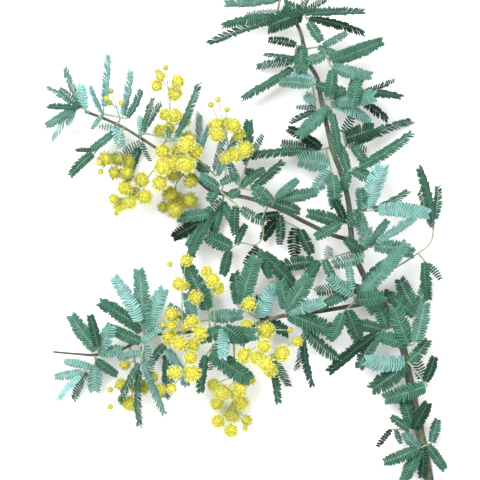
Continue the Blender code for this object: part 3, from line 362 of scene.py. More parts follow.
        Fan(DARK, ((-9.5, 25),), 9, ((-12.5, 39.5, 8), (-18.5, 31, 5), (-1.5, 37.5, 7.5))),
        Fan(DARK, ((-19, 25),), 7, ((-25.5, 17, 3.4), (-14.5, 18.5, 3.4))),
    )),
    Frond("frond_base_05", LEADER, (
        Fan(MIXED, ((-6, 15.5),), 9, ((-22, 9, 7), (-12.5, 0.5, 7.5), (-12, 22.5, 6))),
        Fan(MIXED, ((1, 18),), 8, ((4, 29, 6), (7, 6, 6), (-3.5, 1.5, 6.5))),
    )),
    Frond("leafy_twig_right", LEADER, (
        Fan(MIXED, ((-22.5, 103), (-12.5, 109), (-6.5, 113), (0.5, 119), (2, 130)), 20, ((-5.5, 155, 5.5),
            (4, 146, 5), (-5, 144, 5))),
        Fan(MIXED, ((-1.5, 108),), 16, ((-1, 91, 5.5), (5, 101, 4.5))),
    )),
    # Short fronds between the others.
    Frond("frond_upper_11", UPPER, (
        Fan(MIXED, ((-105, 148),), 25, ((-114, 151.5, 6), (-110, 140, 6), (-97.5, 152, 5))),
        Fan(DARK, ((-95, 136),), 24, ((-83.5, 129, 6), (-97.5, 123.5, 5.5))),
    )),
    Frond("frond_lower_12", LOWER, (
        Fan(PALE, ((-103, 77),), 22, ((-114, 71, 8), (-103.5, 62, 7), (-93, 69, 7))),
    )),
    Frond("frond_leader_14", LEADER, (
        Fan(MIXED, ((-35, 97),), 18, ((-56, 94, 7), (-54, 87, 6), (-28, 84, 7), (-22.5, 108, 7))),
    )),
)

RACEMES = (
    # On the upper branch.
    Raceme("raceme_01", UPPER, DARK, ((-155, 172), (-157, 163)), 26, (
        (-162, 160.5, 3.8), (-156.5, 160.5, 3.8), (-151.5, 159, 3.8), (-151.5, 153.5, 3.5),
        (-157.5, 153.5, 3.5)
    ), ((-165, 158.5), (-164.5, 154))),
    Raceme("raceme_02", UPPER, PALE, ((-131, 172), (-130, 185), (-131, 199)), 30, (
        (-136.5, 197, 3.2), (-134.5, 201.5, 2.6), (-126, 199, 3.6), (-127.5, 193, 3.9), (-132.5, 182.5, 3.2),
        (-127.5, 182, 3.8), (-122.5, 179.5, 3), (-135, 174.5, 3.5), (-130.5, 175.5, 3.3), (-121, 170.5, 3.9)
    ), ((-132, 206), (-136, 204))),
    Raceme("raceme_03", UPPER, CHALKY, ((-127, 163), (-122.5, 163)), 30, (
        (-133.5, 164, 4), (-125.5, 164, 4.4), (-121.5, 167.5, 4), (-117.5, 164, 4), (-133.5, 156.5, 4.4),
        (-127.5, 158.5, 4.4), (-121.5, 157.5, 4.4)
    )),
    Raceme("raceme_04", UPPER, PALE, ((-136, 158), (-146, 145), (-153, 139)), 22, (
        (-144, 150, 4), (-152.5, 146, 4), (-148, 143.5, 3.7), (-158, 140.5, 2.8), (-155, 137.5, 4),
        (-150, 138.5, 3.5), (-142.5, 141.5, 4), (-135, 148.5, 4.2)
    ), ((-157, 133.5),)),
    Raceme("raceme_05", UPPER, DARK, ((-127, 148), (-127, 141)), 7, (
        (-130, 143, 4), (-126, 139.5, 4.3, 3.9), (-120, 140, 4), (-127.5, 135, 4.3), (-133.5, 136.5, 2.8),
        (-128.5, 153, 4), (-119.5, 149.5, 3.6)
    )),
    Raceme("raceme_06", UPPER, PALE, ((-102, 155), (-101, 168), (-103, 176)), 33, (
        (-106.5, 177, 3.9), (-102, 178, 3.5), (-106.5, 172.5, 3.9), (-98, 177, 3.9), (-95.5, 172.5, 3.2),
        (-97, 162.5, 3.9), (-92.5, 165, 3.9), (-102, 161, 3.2)
    ), ((-109.5, 187.5), (-106, 190), (-101.5, 185))),
    Raceme("raceme_07", UPPER, DARK, ((-155, 180.5), (-157, 187)), 25, (
    ), ((-159.5, 194.5), (-161.5, 190.5), (-160, 188.5), (-154, 188.5))),
    # On the lower branch.
    Raceme("raceme_08", LOWER, PALE, ((-124, 84), (-124, 98)), 26, (
        (-122, 110, 3.2), (-125.5, 98, 3.6), (-122, 97, 2.2), (-117, 91.5, 3.6)
    ), ((-130, 108),)),
    Raceme("raceme_09", LOWER, CHALKY, ((-108, 88), (-109, 97)), 27, (
        (-111.5, 104, 3.2), (-108.5, 100, 3.9), (-106, 96, 3.6)
    )),
    Raceme("raceme_10", LOWER, CHALKY, ((-124, 71), (-122, 62), (-123, 52)), 31, (
        (-129, 82.5, 4), (-129, 77, 2.8), (-130, 71, 4), (-125, 68.5, 4), (-119, 79, 3.6), (-115, 73.5, 4),
        (-122.5, 76.5, 2.4), (-118.5, 67.5, 3.6), (-119.5, 61.5, 3.6), (-127.5, 54, 3.6), (-119, 53.5, 4.4),
        (-129, 46, 2.6)
    ), ((-133.5, 77.5),)),
    Raceme("raceme_11", LOWER, CHALKY, ((-86, 74), (-85, 66), (-80, 60)), 32, (
        (-90.5, 88, 3.6), (-91.5, 77.5, 3.2), (-82, 74.5, 4.4), (-83, 67.5, 3.6), (-92.5, 62.5, 4.3),
        (-86.5, 61.5, 4), (-82.5, 59, 4), (-80, 55, 3.6), (-74, 63.5, 4.3), (-66.5, 69.5, 2.8)
    ), ((-70, 75),)),
    Raceme("raceme_12", LOWER, PALE, ((-98, 66), (-98, 48), (-99, 34)), 9, (
        (-108.5, 47.5, 3.2), (-104, 44, 4.4), (-96.5, 43.5, 4.4), (-95, 47, 4), (-90, 50, 2.8),
        (-95, 38.5, 4.4), (-106.5, 38, 3.6), (-99, 32.5, 4.3, 3.6), (-106, 29, 3.6), (-99.5, 24.5, 3.6),
        (-91.5, 29.5, 2.8)
    ), ((-92.5, 25.5),)),
    Raceme("raceme_13", LOWER, MIXED, ((-148, 62), (-147, 50)), 12, (
        (-154.5, 47.5, 3.2), (-148, 46, 2.6), (-143, 46.5, 3.6), (-139, 51, 3.2), (-150, 38, 3.9),
        (-154, 39.5, 2.4), (-152.5, 57.5, 2.6), (-135, 45, 3.2)
    ), ((-160, 45), (-160, 36.5))),
)


def blend(low: HeightSum, high: HeightSum, share: float) -> HeightSum:
    """The height at a share of the way between two heights, each a sum of weighted free heights."""
    keys = {**low, **high}
    return {key: (1 - share) * low.get(key, 0.0) + share * high.get(key, 0.0) for key in keys}


def raised(height: HeightSum, amount: float) -> HeightSum:
    """The height with a fixed amount added, in millimetres."""
    return {**height, FIXED: height.get(FIXED, 0.0) + amount}


@dataclass
class Ball:
    """A flattened ball that stands for a stretch of the sprig while it settles."""

    owner: str
    limb: str
    x: float
    y: float
    radius: float
    half_height: float
    height: HeightSum
    carrier: str = ""
    is_root: bool = False

    def clears(self, other: Ball) -> bool:
        """Tells whether two balls have to lie clear of each other.

        Args:
            other: The other ball.

        Returns:
            True if they belong to pieces, or to limbs of one piece, that may not meet.
        """
        if self.owner == other.owner:
            return self.limb != other.limb and not (self.is_root or other.is_root)
        return self.carrier != other.owner and other.carrier != self.owner


@dataclass
class Settling:
    """Raises and lowers the free ends of fronds and racemes until different pieces lie clear."""

    starts: list = field(default_factory=list)
    balls: list = field(default_factory=list)
    heights: np.ndarray | None = None

    def free(self, start: float) -> HeightSum:
        """Adds a free height that starts at so many millimetres, and gives it as a sum."""
        self.starts.append(start)
        return {len(self.starts) - 1: 1.0}

    def value(self, height: HeightSum) -> float:
        """Reads a height in millimetres, once everything has settled."""
        return sum(share * (1.0 if key == FIXED else self.heights[key]) for key, share in height.items())

    def pairs(self) -> tuple[np.ndarray, np.ndarray, np.ndarray]:
        """Finds the balls that lie over each other in plan.

        Returns:
            The first ball and the second ball of each pair, and how far apart in height the two have to be.
        """
        facts = [(ball.x, ball.y, ball.radius, ball.half_height) for ball in self.balls]
        x, y, radius, half = np.array(facts).T
        apart = np.hypot(x[:, None] - x, y[:, None] - y)
        first, second = np.nonzero(np.triu(apart < radius[:, None] + radius, 1))
        keep = [self.balls[a].clears(self.balls[b]) for a, b in zip(first, second)]
        first, second = first[keep], second[keep]
        between = apart[first, second]
        beyond_first = np.maximum(between - radius[second], 0) / radius[first]
        beyond_second = np.maximum(between - radius[first], 0) / radius[second]
        need = half[first] * np.sqrt(np.maximum(1 - beyond_first**2, 0))
        need = need + half[second] * np.sqrt(np.maximum(1 - beyond_second**2, 0)) + CLEARANCE
        return first, second, need

    def settle(self) -> None:
        """Moves the free heights step by step, and pulls each softly back to where it started."""
        weights = np.zeros((len(self.balls), len(self.starts)))
        constant = np.zeros(len(self.balls))
        for row, ball in enumerate(self.balls):
            for key, share in ball.height.items():
                if key == FIXED:
                    constant[row] = share
                else:
                    weights[row, key] = share
        floor = np.array([ball.half_height + FLOOR_CLEARANCE for ball in self.balls])
        first, second, need = self.pairs()
        start = np.array(self.starts)
        heights = start.copy()
        for turn in range(SETTLING_ROUNDS):
            at = weights @ heights + constant
            gap = at[first] - at[second]
            side = np.where(gap >= 0, 1.0, -1.0)
            short = np.maximum(need - np.abs(gap), 0) * side * 0.5
            push, touched = np.zeros(len(at)), np.zeros(len(at))
            np.add.at(push, first, short)
            np.add.at(push, second, -short)
            np.add.at(touched, first, short != 0)
            np.add.at(touched, second, short != 0)
            low = np.maximum(floor - at, 0)
            push += low
            touched += low > 0
            step = (weights.T @ push) / np.maximum(weights.T @ touched, 1.0)
            ease = EASE * (1 - turn / SETTLING_ROUNDS)
            heights = np.clip(heights + STRIDE * step + ease * (start - heights), LOWEST, HIGHEST)
        self.heights = heights


def smooth_route(points: tuple | list, step: float) -> list[Vector]:
    """Lays points on the smooth curve through the given ones.

    Args:
        points: The given points.
        step: About how far apart the new points are.

    Returns:
        The new points, from the first given point to the last.
    """
    ends = [points[0], *points, points[-1]]
    found = []
    for before, low, high, after in zip(ends, ends[1:], ends[2:], ends[3:]):
        before, low, high, after = (Vector(point) for point in (before, low, high, after))
        pieces = max(1, round((high - low).length / step))
        for share in (piece / pieces for piece in range(pieces)):
            cubic = (3 * (low - high) + after - before) * share
            square = 2 * before - 5 * low + 4 * high - after
            found.append(low + 0.5 * share * ((high - before) + share * (square + cubic)))
    return [*found, Vector(points[-1])]


def along(values: tuple, share: float) -> float:
    """Reads a value part of the way through a list of evenly spaced values.

    Args:
        values: The values.
        share: How far through the list, from 0 to 1.

    Returns:
        The value there.
    """
    place = min(max(share, 0.0), 1.0) * (len(values) - 1)
    low = min(int(place), len(values) - 2)
    return values[low] + (values[low + 1] - values[low]) * (place - low)


@dataclass
class Line:
    """A stalk as it is laid out: its points in plan, and their heights and shares of its length."""

    points: list
    heights: list
    shares: list

    @classmethod
    def through(cls, points: list, start: HeightSum, end: HeightSum) -> Line:
        """Lays a line over points in plan, which climbs evenly.

        Args:
            points: The points in plan.
            start: The height of the first.
            end: The height of the last.

        Returns:
            The line.
        """
        points = [Vector(point) for point in points]
        lengths = [(high - low).length for low, high in zip(points, points[1:])]
        shares = [sum(lengths[:k]) / sum(lengths) for k in range(len(points))]
        return cls(points, [blend(start, end, share) for share in shares], shares)

    @property
    def length(self) -> float:
        """The length in plan."""
        return sum((high - low).length for low, high in zip(self.points, self.points[1:]))

    def at(self, share: float) -> tuple[Vector, HeightSum]:
        """Reads the line at a share of its length.

        Args:
            share: The share, from 0 to 1.

        Returns:
            The point in plan and its height.
        """
        place = next(k for k in range(1, len(self.shares)) if share <= self.shares[k] + 1e-9)
        low, high = self.shares[place - 1], self.shares[place]
        local = (share - low) / (high - low)
        point = self.points[place - 1].lerp(self.points[place], local)
        return point, blend(self.heights[place - 1], self.heights[place], local)

    def nearest(self, point: tuple) -> float:
        """The share of the line's length where it passes nearest to a point in plan, of those tried."""
        tried = (k / NEAREST_TRIES for k in range(NEAREST_TRIES + 1))
        return min(tried, key=lambda share: (self.at(share)[0] - Vector(point)).length)


@dataclass(frozen=True)
class Seat:
    """Where a stalk leaves a stem: two points straight out of the stem's side, in millimetres."""

    foot: Vector
    knee: Vector
    out: Vector

    @classmethod
    def on_stem(cls, stem: Stem, towards: tuple, level: float) -> Seat:
        """Finds the seat on a stem nearest to a point in plan, on the side that faces the point at its level.

        Args:
            stem: The stem.
            towards: The point in plan.
            level: Its height.

        Returns:
            The seat.
        """
        route = smooth_route(stem.route, 1.0)
        index = min(range(2, len(route) - 2), key=lambda k: (route[k].xy - Vector(towards)).length)
        centre = route[index]
        tangent = (route[index + 1] - route[index - 1]).normalized()
        aim = Vector((*towards, level)) - centre
        out = (aim - tangent * aim.dot(tangent)).normalized()
        reach = along(stem.radii, index / (len(route) - 1)) + SEAT_GAP
        return cls(centre + out * reach, centre + out * (reach + KNEE), out)


@dataclass
class Pinna:
    """One pinna: the root and the tip of its rib, half its true width, and how far it is rolled and bowed."""

    root: Vector
    tip: Vector
    root_height: HeightSum
    tip_height: HeightSum
    half_width: float
    roll: float
    bow: float

    @property
    def length(self) -> float:
        """The straight distance in plan from root to tip."""
        return (self.tip - self.root).length

    def plan(self, share: float) -> Vector:
        """A point of the rib in plan.

        Args:
            share: The share of the rib.

        Returns:
            The point.
        """
        chord = self.tip - self.root
        aside = Vector((-chord.y, chord.x)) * self.bow * 4 * share * (1 - share)
        return self.root + chord * share + aside

    def arch(self, share: float) -> float:
        """How far the rib arches over its chord."""
        return ARCH * self.length * 4 * share * (1 - share)

    def spine(self, settling: Settling, count: int) -> np.ndarray:
        """Lays points along the settled rib.

        Args:
            settling: The settled heights.
            count: How many points.

        Returns:
            The points, one row each, in millimetres.
        """
        root = settling.value(self.root_height)
        rise = settling.value(self.tip_height) - root
        shares = np.linspace(0.0, 1.0, count)
        return np.array([(*self.plan(share), root + rise * share + self.arch(share)) for share in shares])


@dataclass
class StalkPlan:
    """A stalk and what it carries."""

    line: Line
    seat: Seat | None
    pinnae: list

    def points(self, settling: Settling) -> list[Vector]:
        """Lays the stalk's points at their settled heights, in millimetres.

        Args:
            settling: The settled heights.

        Returns:
            The points. A stalk that sits on a stem starts inside it.
        """
        rows = zip(self.line.points, self.line.heights)
        points = [Vector((*point, settling.value(height))) for point, height in rows]
        if self.seat:
            points.insert(0, self.seat.foot - self.seat.out * 2 * SEAT_GAP)
        return points


@dataclass
class Head:
    """A round head or bud on its stalk."""

    centre: Vector
    height: HeightSum
    radius: float
    foot: Vector
    foot_height: HeightSum
    is_bud: bool


@dataclass
class RacemePlan(StalkPlan):
    """A raceme's axis, which has no pinnae, and its heads."""

    heads: list


@dataclass
class Planner:
    """Lays out every frond and raceme in plan, and lets their heights settle."""

    settling: Settling = field(default_factory=Settling)
    draw: random.Random = field(default_factory=lambda: random.Random(SEED))

    def add_ball(self, *facts: object, **more: object) -> None:
        """Adds a ball to the settling. Its arguments are the ball's fields."""
        self.settling.balls.append(Ball(*facts, **more))

    def add_line(self, owner: str, line: Line, radius: float, carrier: str) -> None:
        """Adds the balls that stand for a stalk. Its first stretch may lie beside the stem that carries it.

        Args:
            owner: The piece that the stalk belongs to.
            line: The stalk.
            radius: Its radius.
            carrier: The stem that carries it.
        """
        count = max(2, round(line.length / LINE_BALL_STEP))
        for step in range(count + 1):
            point, height = line.at(step / count)
            near = carrier if step * line.length / count < BESIDE_STEM else ""
            self.add_ball(owner, "stalk", point.x, point.y, radius, radius, height, near, is_root=True)

    def add_stem(self, stem: Stem) -> None:
        """Adds the balls that stand for a stem.

        Args:
            stem: The stem.
        """
        route = smooth_route(stem.route, STEM_BALL_STEP)
        for index, point in enumerate(route):
            radius = along(stem.radii, index / (len(route) - 1))
            self.add_ball(stem.name, "stem", point.x, point.y, radius, radius, {FIXED: point.z})

    def pinna(self, line: Line, share: float, row: tuple, level: float) -> Pinna:
        """Lays out a pinna.

        Args:
            line: The stalk that it leaves.
            share: Where it leaves, as a share of the stalk's length.
            row: Its tip and width, and the height of its tip if that is held.
            level: The height of the stalk's end.

        Returns:
            The pinna.
        """
        root, root_height = line.at(share)
        tip = Vector(row[:2])
        apparent = row[2] / 2
        true = max(apparent, min(FULL_HALF_SHARE * (tip - root).length, FULL_HALF_MOST))
        roll = math.acos(max(apparent / true, NARROWEST_SHARE))
        if roll < FLAT_ROLL:
            roll = self.draw.uniform(*SLIGHT_ROLL)
        roll = roll * self.draw.choice((-1, 1))
        droop = self.draw.uniform(*TIP_RISE)
        if len(row) == 4:
            tip_height = {FIXED: row[3]}
        else:
            tip_height = self.settling.free(max(LOWEST_TIP, level + droop))
        return Pinna(root, tip, root_height, tip_height, true, roll, self.draw.uniform(-BOW, BOW))

    def add_pinna(self, owner: str, limb: str, pinna: Pinna) -> None:
        """Adds the balls that stand for a pinna. Near the root it may lie beside its neighbours.

        Args:
            owner: The piece that it belongs to.
            limb: Its own name in that piece.
            pinna: The pinna.
        """
        start, run, power = PINNA_BALL_OUTLINE
        for share in PINNA_BALLS:
            point = pinna.plan(share)
            half = pinna.half_width * math.sin(math.pi * (start + run * share)) ** power
            height = raised(blend(pinna.root_height, pinna.tip_height, share), pinna.arch(share))
            across = half * math.cos(pinna.roll) + PINNA_BALL_MARGIN
            deep = half * abs(math.sin(pinna.roll)) + PINNA_BALL_DEPTH
            is_root = share < PINNA_ROOT_SHARE
            self.add_ball(owner, limb, point.x, point.y, across, deep, height, is_root=is_root)

    def frond(self, frond: Frond) -> list[StalkPlan]:
        """Lays out a frond.

        Args:
            frond: The frond.

        Returns:
            Its stalks. The pinna that points most nearly straight on sits at the end of each.
        """
        plans = []
        for fan in frond.fans:
            hub_height = self.settling.free(fan.level)
            if plans:
                first = plans[0].line
                point, height = first.at(max(first.nearest(fan.route[0]), FIRST_FORK))
                seat = None
            else:
                seat = Seat.on_stem(frond.stem, fan.route[0], fan.level)
                point, height = seat.knee.xy, {FIXED: seat.knee.z}
            line = Line.through([point, *fan.route], height, hub_height)
            self.add_line(frond.name, line, STALK_BALL, frond.stem.name)
            ahead = line.points[-1] - line.points[-2]
            rows = sorted(fan.pinnae, key=lambda row: ahead.angle(Vector(row[:2]) - line.points[-1]))
            pinnae = []
            for order, row in enumerate(rows):
                share = 1 - min(PINNA_SPACING * order / line.length, FARTHEST_FORK)
                pinna = self.pinna(line, share, row, fan.level)
                self.add_pinna(frond.name, f"pinna {len(self.settling.starts)}", pinna)
                pinnae.append(pinna)
            plans.append(StalkPlan(line, seat, pinnae))
        return plans

    def raceme(self, raceme: Raceme) -> RacemePlan:
        """Lays out a raceme.

        Args:
            raceme: The raceme.

        Returns:
            Its axis with its heads and buds.
        """
        seat = Seat.on_stem(raceme.stem, raceme.route[0], raceme.level)
        start, end = {FIXED: seat.knee.z}, {FIXED: raceme.level}
        line = Line.through([seat.knee.xy, *raceme.route], start, end)
        self.add_line(raceme.name, line, AXIS_BALL, raceme.stem.name)
        heads = []
        rows = [(row, False) for row in raceme.heads] + [((*row, BUD_RADIUS), True) for row in raceme.buds]
        for row, is_bud in rows:
            centre = Vector(row[:2])
            share = max(line.nearest(centre) - STALKLET_SETBACK, FIRST_FORK)
            foot, foot_height = line.at(share)
            if len(row) == 4:
                height = {FIXED: row[3]}
            else:
                level = blend(start, end, share)[FIXED] + self.draw.uniform(*HEAD_RISE)
                height = self.settling.free(max(row[2] + 1, level))
            radius = row[2] * HEAD_BALL_SHARE
            self.add_ball(raceme.name, f"head {len(heads)}", centre.x, centre.y, radius, radius, height)
            for part in STALKLET_BALLS:
                point = foot.lerp(centre, part)
                sizes = (point.x, point.y, STALKLET_BALL, STALKLET_BALL, blend(foot_height, height, part))
                self.add_ball(raceme.name, "stalk", *sizes, raceme.stem.name, is_root=True)
            heads.append(Head(centre, height, row[2], foot, foot_height, is_bud))
        return RacemePlan(line, seat, [], heads)

    def lay_out(self) -> tuple[list[list[StalkPlan]], list[RacemePlan]]:
        """Lays out the whole sprig.

        Returns:
            Each frond's stalks, and each raceme's plan.
        """
        for stem in STEMS:
            self.add_stem(stem)
        racemes = [self.raceme(raceme) for raceme in RACEMES]
        fronds = [self.frond(frond) for frond in FRONDS]
        self.settling.settle()
        return fronds, racemes


def unit(vectors: np.ndarray) -> np.ndarray:
    """Brings each row of an array to unit length."""
    return vectors / np.linalg.norm(vectors, axis=1, keepdims=True)


def turned(first: np.ndarray, second: np.ndarray, angle: float) -> tuple[np.ndarray, np.ndarray]:
    """Turns two square directions by an angle, the first towards the second."""
    cosine, sine = math.cos(angle), math.sin(angle)
    return first * cosine + second * sine, second * cosine - first * sine


def transported(route: np.ndarray) -> tuple[np.ndarray, np.ndarray]:
    """Carries a pair of directions along a route without a twist.

    Args:
        route: The route's points.

    Returns:
        The direction beside the route and the one upright from it, at each point.
    """
    steps = np.diff(route, axis=0)
    forward = np.concatenate([steps[:1], steps[:-1] + steps[1:], steps[-1:]])
    forward /= np.linalg.norm(forward, axis=1, keepdims=True) + 1e-9
    side = np.cross((0, 0, 1), forward[0])
    if np.linalg.norm(side) < 0.1:
        side = np.cross((0, 1, 0), forward[0])
    besides = []
    for ahead in forward:
        side = side - ahead * (side @ ahead)
        side /= np.linalg.norm(side)
        besides.append(side)
    besides = np.array(besides)
    return besides, np.cross(forward, besides)


@dataclass
class Shape:
    """A small shape as arrays: its points, its triangles, and what the materials read at each point."""

    points: np.ndarray
    faces: np.ndarray
    place: np.ndarray

    @classmethod
    def leaflet(cls) -> Shape:
        """An oblong leaflet of unit length and half width, as a thin closed lens folded along its midrib.

        Returns:
            The leaflet. Its place is how far along it and across it a point lies, and 1 on the upper face.
        """
        half_widths = {0.0: 0.42, 0.16: 0.86, 0.5: 1.0, 0.84: 0.78}
        crest, keel, fold, curl = 0.16, -0.34, 0.25, 0.35
        points, place, faces = [], [], []
        for x, half in half_widths.items():
            for across, up, face in ((-1, 0.0, 0.5), (0, crest, 1.0), (1, 0.0, 0.5), (0, keel, 0.0)):
                points.append((x, across * half, up * half + fold * abs(across)))
                place.append((x, across * half, face))
        last = len(points) - 4
        for low in range(last):
            beside = low - low % 4 + (low + 1) % 4
            faces += [(low, low + 4, beside + 4), (low, beside + 4, beside)]
        points.append((1.0, 0.0, 0.08))
        place.append((1.0, 0.0, 0.5))
        faces += [(last + side, last + 4, last + (side + 1) % 4) for side in range(4)]
        faces += [(0, 1, 2), (0, 2, 3)]
        points = np.array(points, float)
        points[:, 2] -= curl * points[:, 0] ** 2
        return cls(points, np.array(faces)[:, ::-1], np.array(place, float))

    @classmethod
    def stamen(cls) -> Shape:
        """A stamen of unit length along Z: a hair-thin filament with a round anther at its end.

        Returns:
            The stamen. Its place is how far along it a point lies, 0, and 1 on the anther.
        """
        taper, filament_end = 0.6, 0.93
        anther_foot, anther_middle, anther_radius = 0.9, 0.955, 2.6
        turn = np.arange(3) * math.tau / 3
        ring = np.column_stack([np.cos(turn), np.sin(turn)])
        points = [(*corner, 0.0) for corner in ring] + [(*(taper * corner), filament_end) for corner in ring]
        faces = []
        for k in range(3):
            beside = (k + 1) % 3
            faces += [(k, beside, beside + 3), (k, beside + 3, k + 3)]
        base = len(points)
        square = anther_radius * np.array([(1, 0), (0, 1), (-1, 0), (0, -1)])
        points += [(*corner, anther_middle) for corner in square]
        points += [(0, 0, anther_foot), (0, 0, 1.0)]
        for k in range(4):
            low, high = base + k, base + (k + 1) % 4
            faces += [(low, high, base + 5), (high, low, base + 4)]
        points = np.array(points, float)
        place = np.column_stack([points[:, 2], np.zeros(len(points)), np.arange(len(points)) >= base])
        return cls(points, np.array(faces), place)

    @classmethod
    def ball(cls, across: int, up: int) -> Shape:
        """A ball of unit radius.

        Args:
            across: How many points go round it.
            up: How many rows of faces it has from pole to pole.

        Returns:
            The ball.
        """
        points = [(0.0, 0.0, -1.0)]
        for row in range(1, up):
            lean = math.pi * row / up
            for k in range(across):
                turn = math.tau * (k + 0.5 * (row % 2)) / across
                wide = math.sin(lean)
                points.append((wide * math.cos(turn), wide * math.sin(turn), -math.cos(lean)))
        points.append((0.0, 0.0, 1.0))
        top = len(points) - 1
        faces = [(0, 1 + (k + 1) % across, 1 + k) for k in range(across)]
        for row in range(up - 2):
            for k in range(across):
                low, beside = 1 + row * across + k, 1 + row * across + (k + 1) % across
                faces += [(low, beside, beside + across), (low, beside + across, low + across)]
        faces += [(top - across + k, top - across + (k + 1) % across, top) for k in range(across)]
        points = np.array(points)
        return cls(points, np.array(faces), points.copy())

    @classmethod
    def tube(cls, route: np.ndarray, radii: np.ndarray, sides: int, rings: tuple = ()) -> Shape:
        """A closed round tube.

        Args:
            route: The centreline's points.
            radii: The radius at each point, or at each point and side.
            sides: How many sides it has.
            rings: The shares of the radius at which the first end's face has rings.

        Returns:
            The tube. Its place is the length along it, the turn round it, and 1 on the first end's face.
        """
        radii = np.broadcast_to(np.reshape(radii, (len(route), -1)), (len(route), sides))
        turns = np.arange(sides) * math.tau / sides
        beside, upright = transported(route)
        ring = beside[:, None] * np.cos(turns)[None, :, None]
        ring = ring + upright[:, None] * np.sin(turns)[None, :, None]
        points = route[:, None] + ring * radii[..., None]
        runs = np.concatenate([[0], np.cumsum(np.linalg.norm(np.diff(route, axis=0), axis=1))])
        place = np.stack(np.broadcast_arrays(runs[:, None], turns[None], 0.0), axis=-1)
        index = np.arange(len(route) * sides).reshape(-1, sides)
        low, high = index[:-1], index[1:]
        after = np.roll(low, -1, axis=1), np.roll(high, -1, axis=1)
        faces = [np.stack([low, after[0], after[1]], -1), np.stack([low, after[1], high], -1)]
        shells = [points.reshape(-1, 3)]
        places = [place.reshape(-1, 3)]
        last_ring = index[0]
        for share in rings:
            new = np.arange(sides) + sum(len(shell) for shell in shells)
            shells.append(route[0] + ring[0] * radii[0][:, None] * share)
            places.append(np.column_stack([np.zeros(sides), np.full(sides, share), np.ones(sides)]))
            around = np.roll(last_ring, -1), np.roll(new, -1)
            faces.append(np.stack([last_ring, around[1], around[0]], -1))
            faces.append(np.stack([last_ring, new, around[1]], -1))
            last_ring = new
        ends = sum(len(shell) for shell in shells)
        shells.append(np.array([route[0], route[-1]]))
        places.append(np.array([[0.0, 0.0, 1.0 if rings else 0.0], [runs[-1], 0.0, 0.0]]))
        faces.append(np.stack([last_ring, np.full(sides, ends), np.roll(last_ring, -1)], -1))
        faces.append(np.stack([index[-1], np.roll(index[-1], -1), np.full(sides, ends + 1)], -1))
        faces = np.concatenate([face.reshape(-1, 3) for face in faces])
        return cls(np.concatenate(shells), faces, np.concatenate(places))

    def moved(self, centre: np.ndarray, radius: float) -> Shape:
        """The shape scaled by a radius and moved to a centre."""
        return Shape(self.points * radius + centre, self.faces, self.place)

    def copies(self, bases: np.ndarray, origins: np.ndarray) -> Shape:
        """Copies the shape into many places.

        Args:
            bases: One matrix for each copy, whose columns are where its X, Y and Z axes go.
            origins: One origin for each copy.

        Returns:
            All the copies as one shape.
        """
        points = np.einsum("nij,pj->npi", bases, self.points) + origins[:, None]
        faces = self.faces[None] + (np.arange(len(bases)) * len(self.points))[:, None, None]
        place = np.tile(self.place, (len(bases), 1))
        return Shape(points.reshape(-1, 3), faces.reshape(-1, 3), place)


@dataclass
class Piece:
    """Shapes gathered to become one mesh, each with one of the piece's materials and its own tone."""

    name: str
    materials: tuple
    shapes: list = field(default_factory=list)

    def add(self, shape: Shape, material: bpy.types.Material, tone: float = 0.5) -> None:
        """Adds a shape, in millimetres, with its material and what the material reads as its tone."""
        self.shapes.append((shape, self.materials.index(material), tone))

    def made(self, nodes: tuple) -> None:
        """Args:
            nodes: The nodes of the part that it stands for.
        """
        shapes, numbers, tones = zip(*self.shapes)
        counts = [len(shape.points) for shape in shapes]
        starts = np.concatenate([[0], np.cumsum(counts)[:-1]])
        points = np.concatenate([shape.points for shape in shapes]) * MM
        points[:, 2] = np.maximum(points[:, 2], 0.0)
        faces = np.concatenate([shape.faces + start for shape, start in zip(shapes, starts)])
        mesh = bpy.data.meshes.new(self.name)
        mesh.from_pydata(points, [], faces.tolist())
        numbers = np.repeat(numbers, [len(shape.faces) for shape in shapes])
        mesh.polygons.foreach_set("material_index", numbers.astype(np.int32))
        mesh.polygons.foreach_set("use_smooth", np.ones(len(faces), bool))
        for material in self.materials:
            mesh.materials.append(material)
        place = mesh.attributes.new("place", "FLOAT_VECTOR", "POINT")
        place.data.foreach_set("vector", np.concatenate([shape.place for shape in shapes]).ravel())
        tone = mesh.attributes.new("tone", "FLOAT", "POINT")
        tone.data.foreach_set("value", np.repeat(tones, counts))
        mesh.update()
        obj = bpy.data.objects.new(self.name, mesh)
        bpy.context.scene.collection.objects.link(obj)
        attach(obj, "root")
        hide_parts(*nodes)
        LOG.info("%s: %d faces", self.name, len(faces))


